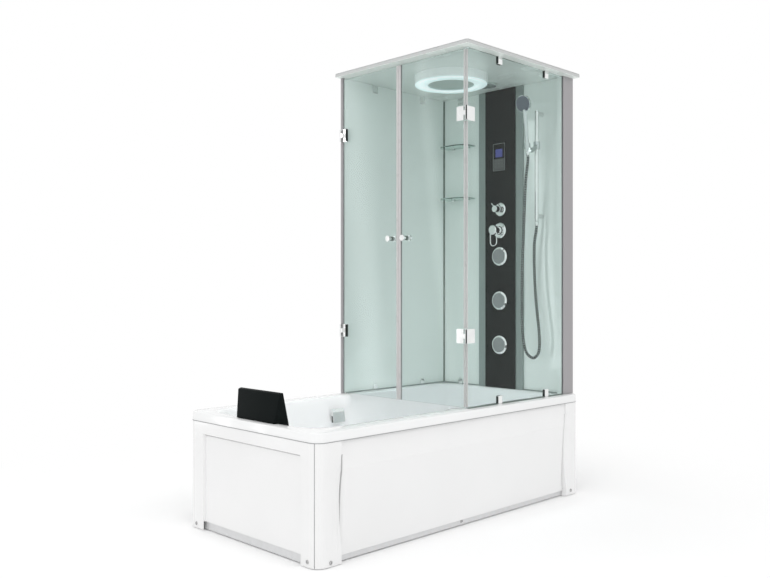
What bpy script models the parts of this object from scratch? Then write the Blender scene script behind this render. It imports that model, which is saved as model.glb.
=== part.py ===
"""Tub and shower unit: a bath with a glass shower cabin over its far half.

Metres, +Z up. The origin lies on the floor under the middle of the unit. +X runs from the head
end of the bath to the shower end, and +Y from the long front to the side that faces the wall.
"""

import math

import bmesh
import bpy
import numpy as np
from mathutils import Matrix, Vector

# Overall sizes, and the clearances that every fit shares
UNIT_LENGTH = 1.800
UNIT_WIDTH = 0.900
UNIT_HEIGHT = 2.200
FIT_GAP = 0.0003
OVERRUN = 0.004

HEAD_X = -UNIT_LENGTH / 2
SHOWER_X = UNIT_LENGTH / 2
FRONT_Y = -UNIT_WIDTH / 2
BACK_Y = UNIT_WIDTH / 2

# Bath tub
RIM_HEIGHT = 0.520
SKIRT_HEIGHT = 0.040
SHELL_WALL = 0.005
CORNER_RADIUS = 0.050
RIM_EDGE_RADIUS = 0.007
LIP_RADIUS = 0.018
BASIN_DEPTH = 0.400
FLOOR_FILLET = 0.035
BASIN_CORNER_RADIUS = 0.110
# Widths of the rim and of the floor's border, for the head, shower, front and back sides
RIM_MARGINS = (0.067, 0.109, 0.101, 0.063)
FLOOR_MARGINS = (0.300, 0.150, 0.150, 0.112)
WAIST_X = 0.0
WAIST_DEPTH = 0.028
WAIST_REACH = 0.060
WAIST_FADE_DEPTH = 0.120
WAIST_STEPS = 3
CORNER_STEPS = 5
LIP_STEPS = 3
FILLET_STEPS = 3

RIM_UNDERSIDE_Z = RIM_HEIGHT - SHELL_WALL
SKIRT_BOTTOM_Z = RIM_HEIGHT - SKIRT_HEIGHT
FLOOR_Z = RIM_HEIGHT - BASIN_DEPTH
FLOOR_UNDERSIDE_Z = FLOOR_Z - SHELL_WALL

# Aprons
APRON_WALL = 0.004
APRON_FOOT = 0.002
APRON_TOP_Z = SKIRT_BOTTOM_Z - FIT_GAP
SEAM_TURN_SHARE = 0.64
SEAM_GAP = 0.0004
POST_WIDTH = 0.125
POST_DIP_START = 0.060
POST_DIP_POWER = 2.5
GROOVE_WIDTH = 0.004
GROOVE_BLEND = 0.024
GROOVE_DEPTH = 0.016
GROOVE_TOP_Z = 0.430
GROOVE_BOTTOM_Z = 0.045
PANEL_BOTTOM_Z = 0.028
CREASE_Z = 0.367
PANEL_TOP_RECESS = 0.010
CREASE_RECESS = 0.0015
PANEL_BOTTOM_RECESS = 0.020
END_RECESS = 0.010
END_RECESS_DRAFT = 0.006
END_RECESS_FRONT = 0.098
END_RECESS_BACK = 0.120
END_RECESS_TOP_Z = 0.428
END_RECESS_BOTTOM_Z = 0.040

# Support frame of square tube under the tub
FRAME_TUBE = 0.020
FRAME_RAIL_HEIGHT = 0.030
FRAME_FRONT_INSET = 0.0265
FRAME_HEAD_INSET = 0.0165
FRAME_BACK_INSET = 0.022
FRAME_SHOWER_INSET = 0.030
PLINTH_BOTTOM_Z = 0.004
PLINTH_HEIGHT = 0.030
END_PLINTH_HEIGHT = 0.042
MAIN_RAIL_WIDTH = 0.030
MAIN_RAIL_OFFSET = 0.250
CROSS_MEMBER_OFFSET = 0.600
MIDDLE_MEMBER_X = 0.040

# Feet
FOOT_PAD_DIAMETER = 0.045
FOOT_PAD_HEIGHT = 0.008
FOOT_STEM_DIAMETER = 0.012
FOOT_NUT_DIAMETER = 0.022
FOOT_NUT_HEIGHT = 0.010

# Waste: flange, plug and trap under the basin, and the overflow with its pipe
DRAIN_X = -0.080
DRAIN_Y = 0.019
DRAIN_FLANGE_DIAMETER = 0.070
DRAIN_FLANGE_HEIGHT = 0.003
DRAIN_HOLE_DIAMETER = 0.050
DRAIN_TAIL_CLEARANCE = 0.001
DRAIN_BORE_DIAMETER = 0.036
PLUG_DIAMETER = 0.064
PLUG_HEIGHT = 0.006
PLUG_STEM_DIAMETER = 0.012
PLUG_STEM_LENGTH = 0.030
TRAP_NECK_DIAMETER = 0.056
TRAP_DIAMETER = 0.100
TRAP_BOTTOM_Z = 0.030
TRAP_NECK_LENGTH = 0.014
TRAP_TAIL_LENGTH = 0.006
TRAP_OUTLET_DIAMETER = 0.030
TRAP_OUTLET_LENGTH = 0.080
TRAP_INLET_LENGTH = 0.015
OVERFLOW_X = -0.080
OVERFLOW_DROP = 0.100
OVERFLOW_HOLE_DIAMETER = 0.044
OVERFLOW_STEM_CLEARANCE = 0.002
OVERFLOW_STEM_REACH = 0.012
OVERFLOW_BASE_DIAMETER = 0.046
OVERFLOW_STANDOFF = 0.008
OVERFLOW_WIDTH = 0.078
OVERFLOW_HEIGHT = 0.070
OVERFLOW_THICKNESS = 0.017
OVERFLOW_PLATE = 0.004
OVERFLOW_PIPE_DIAMETER = 0.028
OVERFLOW_PIPE_BEND = 0.024
PIPE_RAIL_GAP = 0.007

# Headrest, a wedge over the rim at the head end
PAD_GAP = 0.0006
PAD_Y = -0.0175
PAD_BOTTOM_WIDTH = 0.237
PAD_TOP_WIDTH = 0.295
PAD_BACK_INSET = 0.026
PAD_TOP_Z = 0.647
PAD_TOP_BACK_INSET = 0.045
PAD_TOP_FRONT_INSET = 0.062
PAD_BELLY_INSET = 0.108
PAD_BELLY_Z = 0.505
PAD_TIP_THICKNESS = 0.020
PAD_TIP_Z = 0.430
PAD_CORNER = 0.010

# Cabin: panels and profiles
ROOF_THICKNESS = 0.018
ROOF_LENGTH = 0.915
ROOF_CORNER = 0.004
GLASS = 0.006
BACK_WALL_INSET = 0.020
END_WALL_INSET = 0.074
CABIN_LENGTH = 0.874
FIXED_GLASS_INSET = 0.044
DOOR_BOTTOM_GAP = 0.006
DOOR_TOP_GAP = 0.010
DOOR_EDGE_GAP = 0.003
DOOR_MEET_Y = 0.0205
CORNER_EDGE_GAP = 0.003
PROFILE_MARGIN = 0.005
PROFILE_LIP = 0.004
FRONT_PROFILE_LENGTH = 0.090
FRONT_PROFILE_WIDTH = 0.038
FRONT_SLOT_DEPTH = 0.008
END_SLOT_DEPTH = 0.018
BACK_PROFILE_LENGTH = 0.135
BACK_PROFILE_WIDTH = 0.075
SIDE_PROFILE_LENGTH = 0.023
SIDE_PROFILE_STEP = 0.015
SIDE_PROFILE_SETBACK = 0.008

# Doors: seals, knobs and hinges
SEAL_WIDTH = 0.0145
SEAL_LIP = 0.0022
SEAL_BULB = 0.005
SEAL_MEET_GAP = 0.0012
KNOB_RISE_SHARE = 0.476190
BACK_KNOB_OFFSET = 0.0535
FRONT_KNOB_OFFSET = 0.0455
KNOB_DIAMETER = 0.030
KNOB_REACH = 0.030
KNOB_DISC = 0.009
KNOB_NECK_DIAMETER = 0.016
KNOB_HOLE_DIAMETER = 0.012
UPPER_HINGE_RISE_SHARE = 0.807143
LOWER_HINGE_RISE_SHARE = 0.198214
HINGE_HEIGHT = 0.066
HINGE_PLATE = 0.008
FRONT_HINGE_PLATE = 0.006
KNUCKLE_CLEARANCE = 0.001
HINGE_KNUCKLE_DIAMETER = 0.012
HINGE_KNUCKLE_GAP = 0.0006
BACK_PIVOT_OUT = 0.018
BACK_PIVOT_SIDE = 0.004
FRONT_PIVOT_OUT = 0.011
BACK_HINGE_LEAF = 0.034
FRONT_HINGE_DOOR_LEAF = 0.042
FRONT_HINGE_GLASS_LEAF = 0.057
HINGE_WEB = 0.008

# Clamps of the fixed glass
CLAMP_OFFSETS = (0.246, 0.628)
CLAMP_WIDTH = 0.030
CLAMP_HEIGHT = 0.040
CLAMP_PLATE = 0.005
CLAMP_BASE = 0.003

# Ceiling: lamp ring, rain rose and speaker
RING_INSET = 0.364
RING_Y = 0.0
RING_DIAMETER = 0.380
RING_BORE = 0.260
RING_DROP = 0.047
ROSE_DIAMETER = 0.250
ROSE_HEIGHT = 0.012
ROSE_DROP = 0.041
ROSE_NECK_DIAMETER = 0.060
SPEAKER_INSET = 0.635
SPEAKER_Y = -0.013
SPEAKER_DIAMETER = 0.110
SPEAKER_HEIGHT = 0.010

# Shower column on the end wall
COLUMN_Y = 0.0075
HOUSING_WIDTH = 0.305
HOUSING_THICKNESS = 0.010
HOUSING_TOP_GAP = 0.002
PANEL_WIDTH = 0.206
PANEL_THICKNESS = 0.005
PANEL_SHIFT = -0.0015
JET_Y = 0.007
JET_DIAMETER = 0.103
JET_FACE_DIAMETER = 0.084
JET_HEIGHT = 0.007
JET_FACE_HEIGHT = 0.003
TOP_JET_RISE_SHARE = 0.435714
JET_PITCH_SHARE = 0.146429
DISPLAY_Y = 0.0075
DISPLAY_RISE_SHARE = 0.764583
DISPLAY_WIDTH = 0.083
DISPLAY_HEIGHT = 0.151
DISPLAY_THICKNESS = 0.006

# Mixer and diverter on the column
MIXER_Y = 0.005
MIXER_RISE_SHARE = 0.521429
MIXER_BASE_DIAMETER = 0.087
MIXER_BASE_HEIGHT = 0.010
MIXER_BODY_DIAMETER = 0.044
MIXER_BODY_LENGTH = 0.028
MIXER_NECK_DIAMETER = 0.020
MIXER_NECK_LENGTH = 0.024
MIXER_CAP_DIAMETER = 0.053
MIXER_CAP_BORE = 0.040
MIXER_CAP_DEPTH = 0.020
MIXER_CAP_FRONT = 0.004
MIXER_CAP_BACK = 0.006
MIXER_PIN_DIAMETER = 0.005
MIXER_PIVOT_SETBACK = 0.004
MIXER_LOOP_WIDTH = 0.050
MIXER_LOOP_BAR = 0.0066
MIXER_LOOP_BOTTOM = 0.091
DIVERTER_Y = 0.002
DIVERTER_RISE_SHARE = 0.591071
DIVERTER_BASE_DIAMETER = 0.075
DIVERTER_BASE_HEIGHT = 0.008
DIVERTER_NECK_DIAMETER = 0.020
DIVERTER_NECK_LENGTH = 0.014
DIVERTER_KNOB_DIAMETER = 0.036
DIVERTER_KNOB_LENGTH = 0.032
DIVERTER_PIN_DIAMETER = 0.006
DIVERTER_PIN_REACH = 0.046
DIVERTER_PIN_ANGLE = 45.0

# Glass shelves on the end wall, between the column and the back wall
SHELF_MARGIN = 0.035
SHELF_DEPTH = 0.110
SHELF_RISE_SHARES = {"shelf_upper": 0.815476, "shelf_lower": 0.636905}
SHELF_CORNER = 0.060

# Hand shower: rail, slider, holder and handset
RAIL_STANDOFF = 0.050
RAIL_SIDE_SHARE = 0.459770
RAIL_BOTTOM_RISE_SHARE = 0.550000
RAIL_TOP_RISE_SHARE = 0.891071
RAIL_DIAMETER = 0.020
RAIL_OUTLET_DIAMETER = 0.018
RAIL_OUTLET_LENGTH = 0.014
BRACKET_DIAMETER = 0.024
BRACKET_INSET = 0.014
SLIDER_RISE = 0.032
SLIDER_DIAMETER = 0.034
SLIDER_HEIGHT = 0.040
ARM_THICKNESS = 0.008
ARM_HEIGHT = 0.024
ARM_OFFSET = 0.009
PIVOT_RISE_SHARE = 0.761905
PIVOT_REACH = 0.056
PIVOT_SIDE = 0.018
PIVOT_PIN_DIAMETER = 0.008
HANDSET_LEAN = 7.4
HOLDER_DIAMETER = 0.032
HOLDER_HEIGHT = 0.030
HOLDER_LIFT = 0.010
HANDLE_END_DIAMETER = 0.018
HANDLE_DIAMETER = 0.024
HANDLE_LENGTH = 0.215
HEAD_DIAMETER = 0.088
HEAD_HEIGHT = 0.022
HEAD_BACK_DIAMETER = 0.050
HEAD_LIFT = 0.247
HEAD_PITCH = 17.0

# Shower hose
HOSE_DIAMETER = 0.013
HOSE_BORE = 0.006
BORE_STEP = 3
HOSE_RIBS = 120
RIB_RADIUS_SHARES = (0.80, 1.00)
# The hose's route: reach from the end wall, distance beside the rail, and height in the cabin
HOSE_REACHES = (0.096, 0.084, 0.076, 0.071, 0.068, 0.065, 0.062, 0.060, 0.058, 0.057, 0.054)
HOSE_SIDES = (0.0370, 0.0624, 0.0780, 0.0747, 0.0528, 0.0099, -0.0210, -0.0235, -0.0061, 0.0066, 0.0127)
HOSE_RISE_SHARES = (
    *(0.672024, 0.483333, 0.303571, 0.182143, 0.125595, 0.109524),
    *(0.128571, 0.184524, 0.263690, 0.344048, 0.464286),
)

# Places that several pieces share
ROOF_UNDERSIDE_Z = UNIT_HEIGHT - ROOF_THICKNESS
DOOR_X = SHOWER_X - CABIN_LENGTH
END_WALL_X = SHOWER_X - END_WALL_INSET
BACK_WALL_Y = BACK_Y - BACK_WALL_INSET
FIXED_GLASS_Y = FRONT_Y + FIXED_GLASS_INSET
HOUSING_X = END_WALL_X - FIT_GAP - HOUSING_THICKNESS
PANEL_X = HOUSING_X - FIT_GAP - PANEL_THICKNESS
CABIN_HEIGHT = UNIT_HEIGHT - RIM_HEIGHT
COLUMN_FRONT_Y = COLUMN_Y - HOUSING_WIDTH / 2
COLUMN_BACK_Y = COLUMN_Y + HOUSING_WIDTH / 2
KNOB_Z = RIM_HEIGHT + KNOB_RISE_SHARE * CABIN_HEIGHT
HINGE_UPPER_Z = RIM_HEIGHT + UPPER_HINGE_RISE_SHARE * CABIN_HEIGHT
HINGE_LOWER_Z = RIM_HEIGHT + LOWER_HINGE_RISE_SHARE * CABIN_HEIGHT
RING_X = DOOR_X + RING_INSET
SPEAKER_X = DOOR_X + SPEAKER_INSET
JET_TOP_Z = RIM_HEIGHT + TOP_JET_RISE_SHARE * CABIN_HEIGHT
JET_PITCH = JET_PITCH_SHARE * CABIN_HEIGHT
DISPLAY_Z = RIM_HEIGHT + DISPLAY_RISE_SHARE * CABIN_HEIGHT
MIXER_Z = RIM_HEIGHT + MIXER_RISE_SHARE * CABIN_HEIGHT
DIVERTER_Z = RIM_HEIGHT + DIVERTER_RISE_SHARE * CABIN_HEIGHT
SHELF_WIDTH = BACK_WALL_Y - COLUMN_BACK_Y - 2 * SHELF_MARGIN
SHELF_Y = (BACK_WALL_Y + COLUMN_BACK_Y) / 2
RAIL_Y = COLUMN_FRONT_Y + (FIXED_GLASS_Y - COLUMN_FRONT_Y) * RAIL_SIDE_SHARE
RAIL_BOTTOM_Z = RIM_HEIGHT + RAIL_BOTTOM_RISE_SHARE * CABIN_HEIGHT
RAIL_TOP_Z = RIM_HEIGHT + RAIL_TOP_RISE_SHARE * CABIN_HEIGHT
PIVOT_Z = RIM_HEIGHT + PIVOT_RISE_SHARE * CABIN_HEIGHT
SLIDER_Z = PIVOT_Z + SLIDER_RISE
DRAIN_TAIL_Z = FLOOR_UNDERSIDE_Z - TRAP_TAIL_LENGTH
PIPE_Z = FLOOR_UNDERSIDE_Z - FIT_GAP - FRAME_RAIL_HEIGHT - PIPE_RAIL_GAP - OVERFLOW_PIPE_DIAMETER / 2


# Modelling steps that the pieces share


def clear_scene():
    for obj in list(bpy.data.objects):
        bpy.data.objects.remove(obj, do_unlink=True)


def finish(name, colour, roughness, metallic=0.0, alpha=1.0):
    """A Principled material, made once for each name."""
    made = bpy.data.materials.get(name)
    if made:
        return made
    made = bpy.data.materials.new(name)
    made.use_nodes = True
    shader = made.node_tree.nodes["Principled BSDF"]
    shader.inputs["Base Color"].default_value = (*colour, 1.0)
    shader.inputs["Roughness"].default_value = roughness
    shader.inputs["Metallic"].default_value = metallic
    shader.inputs["Alpha"].default_value = alpha
    return made


def white_acrylic():
    return finish("white_acrylic", (0.90, 0.90, 0.90), 0.18)


def white_panel():
    return finish("white_panel", (0.86, 0.86, 0.86), 0.25)


def grey_steel():
    return finish("grey_steel", (0.50, 0.50, 0.51), 0.45, 0.3)


def chrome():
    return finish("chrome", (0.82, 0.83, 0.84), 0.08, 1.0)


def grey_aluminium():
    return finish("grey_aluminium", (0.36, 0.36, 0.37), 0.35, 0.8)


def clear_glass():
    return finish("clear_glass", (0.70, 0.85, 0.80), 0.03, alpha=0.35)


def pale_wall_glass():
    return finish("pale_wall_glass", (0.66, 0.76, 0.71), 0.08)


def grey_seal():
    return finish("grey_seal", (0.45, 0.42, 0.42), 0.5)


def dark_glass():
    return finish("dark_glass", (0.035, 0.045, 0.042), 0.15)


def grey_plastic():
    return finish("grey_plastic", (0.30, 0.32, 0.33), 0.4)


def black_foam():
    return finish("black_foam", (0.012, 0.014, 0.014), 0.6)


def dark_hose():
    return finish("dark_hose", (0.06, 0.09, 0.08), 0.35, 0.4)


def mesh_from(points, faces):
    """A mesh of these points and faces, with its normals turned out."""
    bm = bmesh.new()
    verts = [bm.verts.new(point) for point in points]
    for face in faces:
        bm.faces.new([verts[index] for index in face])
    bmesh.ops.recalc_face_normals(bm, faces=bm.faces)
    mesh = bpy.data.meshes.new("piece")
    bm.to_mesh(mesh)
    bm.free()
    return mesh


def box(low, high):
    """A box between two corners."""
    points = [(x, y, z) for x in (low[0], high[0]) for y in (low[1], high[1]) for z in (low[2], high[2])]
    faces = [(0, 1, 3, 2), (4, 6, 7, 5), (0, 4, 5, 1), (2, 3, 7, 6), (0, 2, 6, 4), (1, 5, 7, 3)]
    return mesh_from(points, faces)


def prism(outline, axis, start, end):
    """An outline drawn across an axis, x, y or z, and extruded along it from start to end."""
    place = {
        "x": lambda a, b, along: (along, a, b),
        "y": lambda a, b, along: (a, along, b),
        "z": lambda a, b, along: (a, b, along),
    }[axis]
    count = len(outline)
    points = [place(a, b, along) for along in (start, end) for a, b in outline]
    faces = [tuple(range(count)), tuple(range(count, 2 * count))]
    faces += [(i, (i + 1) % count, count + (i + 1) % count, count + i) for i in range(count)]
    return mesh_from(points, faces)


def turned(profile, base, direction, steps):
    """A profile of (radius, height) points turned about the line from base along direction.

    The profile closes on itself, or on the axis where its ends have radius zero.
    """
    turn = Vector(direction).to_track_quat("Z", "Y").to_matrix()
    base = Vector(base)
    points = []
    rings = []
    for radius, height in profile:
        if radius == 0:
            rings.append([len(points)] * steps)
            points.append(base + turn @ Vector((0, 0, height)))
            continue
        rings.append(list(range(len(points), len(points) + steps)))
        for step in range(steps):
            angle = 2 * math.pi * step / steps
            points.append(base + turn @ Vector((radius * math.cos(angle), radius * math.sin(angle), height)))
    closed = profile[0][0] > 0
    pairs = list(zip(rings, rings[1:])) + ([(rings[-1], rings[0])] if closed else [])
    faces = []
    for lower, upper in pairs:
        for step in range(steps):
            following = (step + 1) % steps
            corners = (lower[step], lower[following], upper[following], upper[step])
            faces.append(tuple(dict.fromkeys(corners)))
    return mesh_from(points, faces)


def cylinder(radius, base, direction, length, steps):
    return turned([(0, 0), (radius, 0), (radius, length), (0, length)], base, direction, steps)


def tube(points, radius, resolution, radius_shares=(1.0,)):
    """A round tube along points, as a curve with filled caps, evaluated to a mesh."""
    curve = tube_curve(points, radius, resolution, radius_shares)
    carrier = bpy.data.objects.new("tube", curve)
    bpy.context.scene.collection.objects.link(carrier)
    bpy.context.view_layer.update()
    mesh = bpy.data.meshes.new_from_object(carrier.evaluated_get(bpy.context.evaluated_depsgraph_get()))
    bpy.data.objects.remove(carrier, do_unlink=True)
    bm = bmesh.new()
    bm.from_mesh(mesh)
    bmesh.ops.remove_doubles(bm, verts=bm.verts, dist=FIT_GAP / 10)
    bmesh.ops.recalc_face_normals(bm, faces=bm.faces)
    bm.to_mesh(mesh)
    bm.free()
    return mesh


def tube_curve(points, radius, resolution, radius_shares=(1.0,)):
    """The curve of a round tube, whose radius runs through the given shares in turn."""
    curve = bpy.data.curves.new("tube", "CURVE")
    curve.dimensions = "3D"
    curve.bevel_depth = radius
    curve.bevel_resolution = resolution
    curve.use_fill_caps = True
    line = curve.splines.new("POLY")
    line.points.add(len(points) - 1)
    for index, (knot, point) in enumerate(zip(line.points, points)):
        knot.co = (*point, 1.0)
        knot.radius = radius_shares[index % len(radius_shares)]
    return curve


def combined(mesh, others, operation):
    """A mesh after Boolean steps with others: UNION joins them, DIFFERENCE cuts them out."""
    scene = bpy.context.scene.collection
    body = bpy.data.objects.new("body", mesh)
    scene.objects.link(body)
    tools = []
    for other in others:
        tool = bpy.data.objects.new("tool", other)
        scene.objects.link(tool)
        step = body.modifiers.new("step", "BOOLEAN")
        step.operation = operation
        step.solver = "EXACT"
        step.object = tool
        tools.append(tool)
    bpy.context.view_layer.update()
    result = bpy.data.meshes.new_from_object(body.evaluated_get(bpy.context.evaluated_depsgraph_get()))
    for obj in [body, *tools]:
        bpy.data.objects.remove(obj, do_unlink=True)
    return result


def joined(*meshes):
    return combined(meshes[0], meshes[1:], "UNION")


def cut(mesh, *cutters):
    return combined(mesh, cutters, "DIFFERENCE")


def add(name, mesh, material, origin=(0, 0, 0), round_piece=False):
    """Makes the named object of a mesh in world coordinates, with its own origin."""
    mesh.transform(Matrix.Translation(-Vector(origin)))
    mesh.name = name
    mesh.materials.clear()
    mesh.materials.append(material)
    if round_piece:
        mesh.shade_smooth()
        mesh.set_sharp_from_angle(angle=math.radians(40))
    obj = bpy.data.objects.new(name, mesh)
    obj.location = origin
    bpy.context.scene.collection.objects.link(obj)
    return obj


def welded_boxes(boxes):
    """One mesh of boxes that meet face to face or overlap, without inner faces."""
    cuts = [sorted({round(corner[axis], 7) for pair in boxes for corner in pair}) for axis in range(3)]
    filled = np.zeros([len(line) + 1 for line in cuts], bool)
    for low, high in boxes:
        spans = [
            slice(cuts[axis].index(round(low[axis], 7)) + 1, cuts[axis].index(round(high[axis], 7)) + 1)
            for axis in range(3)
        ]
        filled[tuple(spans)] = True
    index_of = {}
    points = []
    faces = []

    def corner(cell):
        if cell not in index_of:
            index_of[cell] = len(points)
            points.append(tuple(cuts[axis][cell[axis]] for axis in range(3)))
        return index_of[cell]

    for cell in zip(*np.nonzero(filled)):
        for axis in range(3):
            for side in (-1, 1):
                beside = list(cell)
                beside[axis] += side
                if filled[tuple(beside)]:
                    continue
                first, second = [other for other in range(3) if other != axis]
                ring = []
                for step_a, step_b in ((0, 0), (1, 0), (1, 1), (0, 1)):
                    at = [part - 1 for part in cell]
                    at[axis] += side > 0
                    at[first] += step_a
                    at[second] += step_b
                    ring.append(corner(tuple(int(part) for part in at)))
                faces.append(tuple(ring))
    return mesh_from(points, faces)


def rounded_outline(low, high, radius, steps):
    """A rectangle in a plane, from its low to its high corner, with round corners."""
    centres = (
        (high[0] - radius, high[1] - radius),
        (low[0] + radius, high[1] - radius),
        (low[0] + radius, low[1] + radius),
        (high[0] - radius, low[1] + radius),
    )
    outline = []
    for quarter, (a, b) in enumerate(centres):
        for step in range(steps + 1):
            angle = math.pi / 2 * (quarter + step / steps)
            outline.append((a + radius * math.cos(angle), b + radius * math.sin(angle)))
    return outline


# Bath tub


def outer_ring(inset, z):
    """The unit's outline, this far inside its edge, with the basin's count of points."""
    radius = CORNER_RADIUS - inset
    return side_ring([inset] * 4, radius, z, waist=0)


def basin_ring(offset, depth):
    """A level of the basin: offset moves it off the straight wall line at this depth."""
    share = min(max(depth / BASIN_DEPTH, 0), 1)
    margins = [rim + (floor - rim) * share + offset for rim, floor in zip(RIM_MARGINS, FLOOR_MARGINS)]
    waist = WAIST_DEPTH * max(0, 1 - depth / WAIST_FADE_DEPTH)
    return side_ring(margins, BASIN_CORNER_RADIUS - offset, RIM_HEIGHT - depth, waist)


def side_ring(margins, radius, z, waist):
    """A rounded rectangle with these margins from the unit's edges, drawn in at the waist."""
    head, shower, front, back = margins
    low_x, high_x = HEAD_X + head, SHOWER_X - shower
    low_y, high_y = FRONT_Y + front, BACK_Y - back
    along = [WAIST_X + WAIST_REACH * step / WAIST_STEPS for step in range(-WAIST_STEPS, WAIST_STEPS + 1)]
    corners = (
        (low_x + radius, low_y + radius, 2),
        (high_x - radius, low_y + radius, 3),
        (high_x - radius, high_y - radius, 0),
        (low_x + radius, high_y - radius, 1),
    )
    ring = []
    for number, (x, y, quarter) in enumerate(corners):
        for step in range(CORNER_STEPS + 1):
            angle = math.pi / 2 * (quarter + step / CORNER_STEPS)
            ring.append((x + radius * math.cos(angle), y + radius * math.sin(angle), z))
        if number == 0:
            ring += [(place, low_y + waist * waist_share(place), z) for place in along]
        if number == 2:
            ring += [(place, high_y - waist * waist_share(place), z) for place in reversed(along)]
    return ring


def waist_share(x):
    return (1 + math.cos(math.pi * min(1, abs(x - WAIST_X) / WAIST_REACH))) / 2


def basin_levels(wall):
    """The basin's (offset, depth) levels from the rim down, this far behind its surface."""
    lip = LIP_RADIUS - wall
    fillet = FLOOR_FILLET + wall
    levels = []
    for step in range(LIP_STEPS + 1):
        angle = math.pi / 2 * step / LIP_STEPS
        levels.append((lip * math.sin(angle) - LIP_RADIUS, LIP_RADIUS - lip * math.cos(angle)))
    levels += [(-wall, depth) for depth in (WAIST_FADE_DEPTH / 2, WAIST_FADE_DEPTH)]
    for step in range(FILLET_STEPS + 1):
        angle = math.pi / 2 * step / FILLET_STEPS
        depth = BASIN_DEPTH - FLOOR_FILLET + fillet * math.sin(angle)
        levels.append((FLOOR_FILLET - fillet * math.cos(angle), depth))
    return levels


def tub_rings():
    rings = [basin_ring(offset, depth) for offset, depth in reversed(basin_levels(0))]
    for step in range(3):
        angle = math.pi / 2 * step / 2
        inset = RIM_EDGE_RADIUS * (1 - math.sin(angle))
        rings.append(outer_ring(inset, RIM_HEIGHT - RIM_EDGE_RADIUS * (1 - math.cos(angle))))
    rings.append(outer_ring(0, SKIRT_BOTTOM_Z))
    rings.append(outer_ring(SHELL_WALL, SKIRT_BOTTOM_Z))
    rings.append(outer_ring(SHELL_WALL, RIM_UNDERSIDE_Z))
    rings += [basin_ring(offset, depth) for offset, depth in basin_levels(SHELL_WALL)]
    return rings


def wall_frame():
    """The middle of the overflow on the basin's back wall, and the wall's inward normal."""
    rise = (FLOOR_MARGINS[3] - RIM_MARGINS[3]) / BASIN_DEPTH
    margin = RIM_MARGINS[3] + rise * OVERFLOW_DROP
    place = Vector((OVERFLOW_X, BACK_Y - margin, RIM_HEIGHT - OVERFLOW_DROP))
    return place, Vector((0, -1, rise)).normalized()


def build_tub():
    rings = tub_rings()
    count = len(rings[0])
    points = [point for ring in rings for point in ring]
    faces = []
    for row in range(len(rings) - 1):
        for step in range(count):
            following = (step + 1) % count
            corners = (row * count + step, row * count + following)
            faces.append((*corners, corners[1] + count, corners[0] + count))
    faces.append(tuple(range(count)))
    faces.append(tuple(range(len(points) - count, len(points))))
    drain = cylinder(
        DRAIN_HOLE_DIAMETER / 2,
        (DRAIN_X, DRAIN_Y, FLOOR_UNDERSIDE_Z - OVERRUN),
        (0, 0, 1),
        SHELL_WALL + 2 * OVERRUN,
        24,
    )
    place, normal = wall_frame()
    overflow = cylinder(
        OVERFLOW_HOLE_DIAMETER / 2,
        place - normal * (SHELL_WALL + OVERRUN),
        normal,
        SHELL_WALL + 2 * OVERRUN,
        20,
    )
    add("tub_shell", cut(mesh_from(points, faces), drain, overflow), white_acrylic(), round_piece=True)


# Aprons: thin sheets that follow the tub's outline


def sheet(columns, rows, surface, normal_of, wall, kept):
    """A sheet of this wall over a grid, where surface gives its outer points.

    Only the cells that kept names are made, so the sheet may have notches.
    """
    points = []
    for row in rows:
        for column in columns:
            outer = Vector(surface(column, row))
            points += [outer, outer - normal_of(column) * wall]

    def index(i, j, inner):
        return 2 * (j * len(columns) + i) + inner

    cells = {
        (i, j)
        for i in range(len(columns) - 1)
        for j in range(len(rows) - 1)
        if kept((columns[i] + columns[i + 1]) / 2, (rows[j] + rows[j + 1]) / 2)
    }
    faces = []
    for i, j in cells:
        corners = ((i, j), (i + 1, j), (i + 1, j + 1), (i, j + 1))
        for inner in (0, 1):
            faces.append(tuple(index(a, b, inner) for a, b in corners))
        for number, beside in enumerate(((i, j - 1), (i + 1, j), (i, j + 1), (i - 1, j))):
            if beside not in cells:
                a = corners[number]
                b = corners[(number + 1) % 4]
                faces.append((index(*a, 0), index(*b, 0), index(*b, 1), index(*a, 1)))
    used = sorted({corner for face in faces for corner in face})
    renamed = {old: new for new, old in enumerate(used)}
    return mesh_from([points[old] for old in used], [tuple(renamed[c] for c in face) for face in faces])


ARC_LENGTH = CORNER_RADIUS * math.pi / 2
SEAM_ARC = ARC_LENGTH * SEAM_TURN_SHARE
FLAT_LENGTH = UNIT_LENGTH - 2 * CORNER_RADIUS
FLAT_WIDTH = UNIT_WIDTH - 2 * CORNER_RADIUS


def front_place(run):
    """A point and outward normal on the front outline, run metres from the flat's head end."""
    if run < 0:
        angle = -run / CORNER_RADIUS
        centre = Vector((HEAD_X + CORNER_RADIUS, FRONT_Y + CORNER_RADIUS, 0))
        normal = Vector((-math.sin(angle), -math.cos(angle), 0))
    elif run > FLAT_LENGTH:
        angle = (run - FLAT_LENGTH) / CORNER_RADIUS
        centre = Vector((SHOWER_X - CORNER_RADIUS, FRONT_Y + CORNER_RADIUS, 0))
        normal = Vector((math.sin(angle), -math.cos(angle), 0))
    else:
        centre = Vector((HEAD_X + CORNER_RADIUS + run, FRONT_Y + CORNER_RADIUS, 0))
        normal = Vector((0, -1, 0))
    return centre + normal * CORNER_RADIUS, normal


def panel_recess(z):
    """How far the long panel lies behind the posts, with a crease near its top."""
    if z > CREASE_Z:
        share = (z - CREASE_Z) / (APRON_TOP_Z - CREASE_Z)
        return CREASE_RECESS + (PANEL_TOP_RECESS - CREASE_RECESS) * share
    share = (CREASE_Z - z) / (CREASE_Z - PANEL_BOTTOM_Z)
    return CREASE_RECESS + (PANEL_BOTTOM_RECESS - CREASE_RECESS) * share


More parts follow.
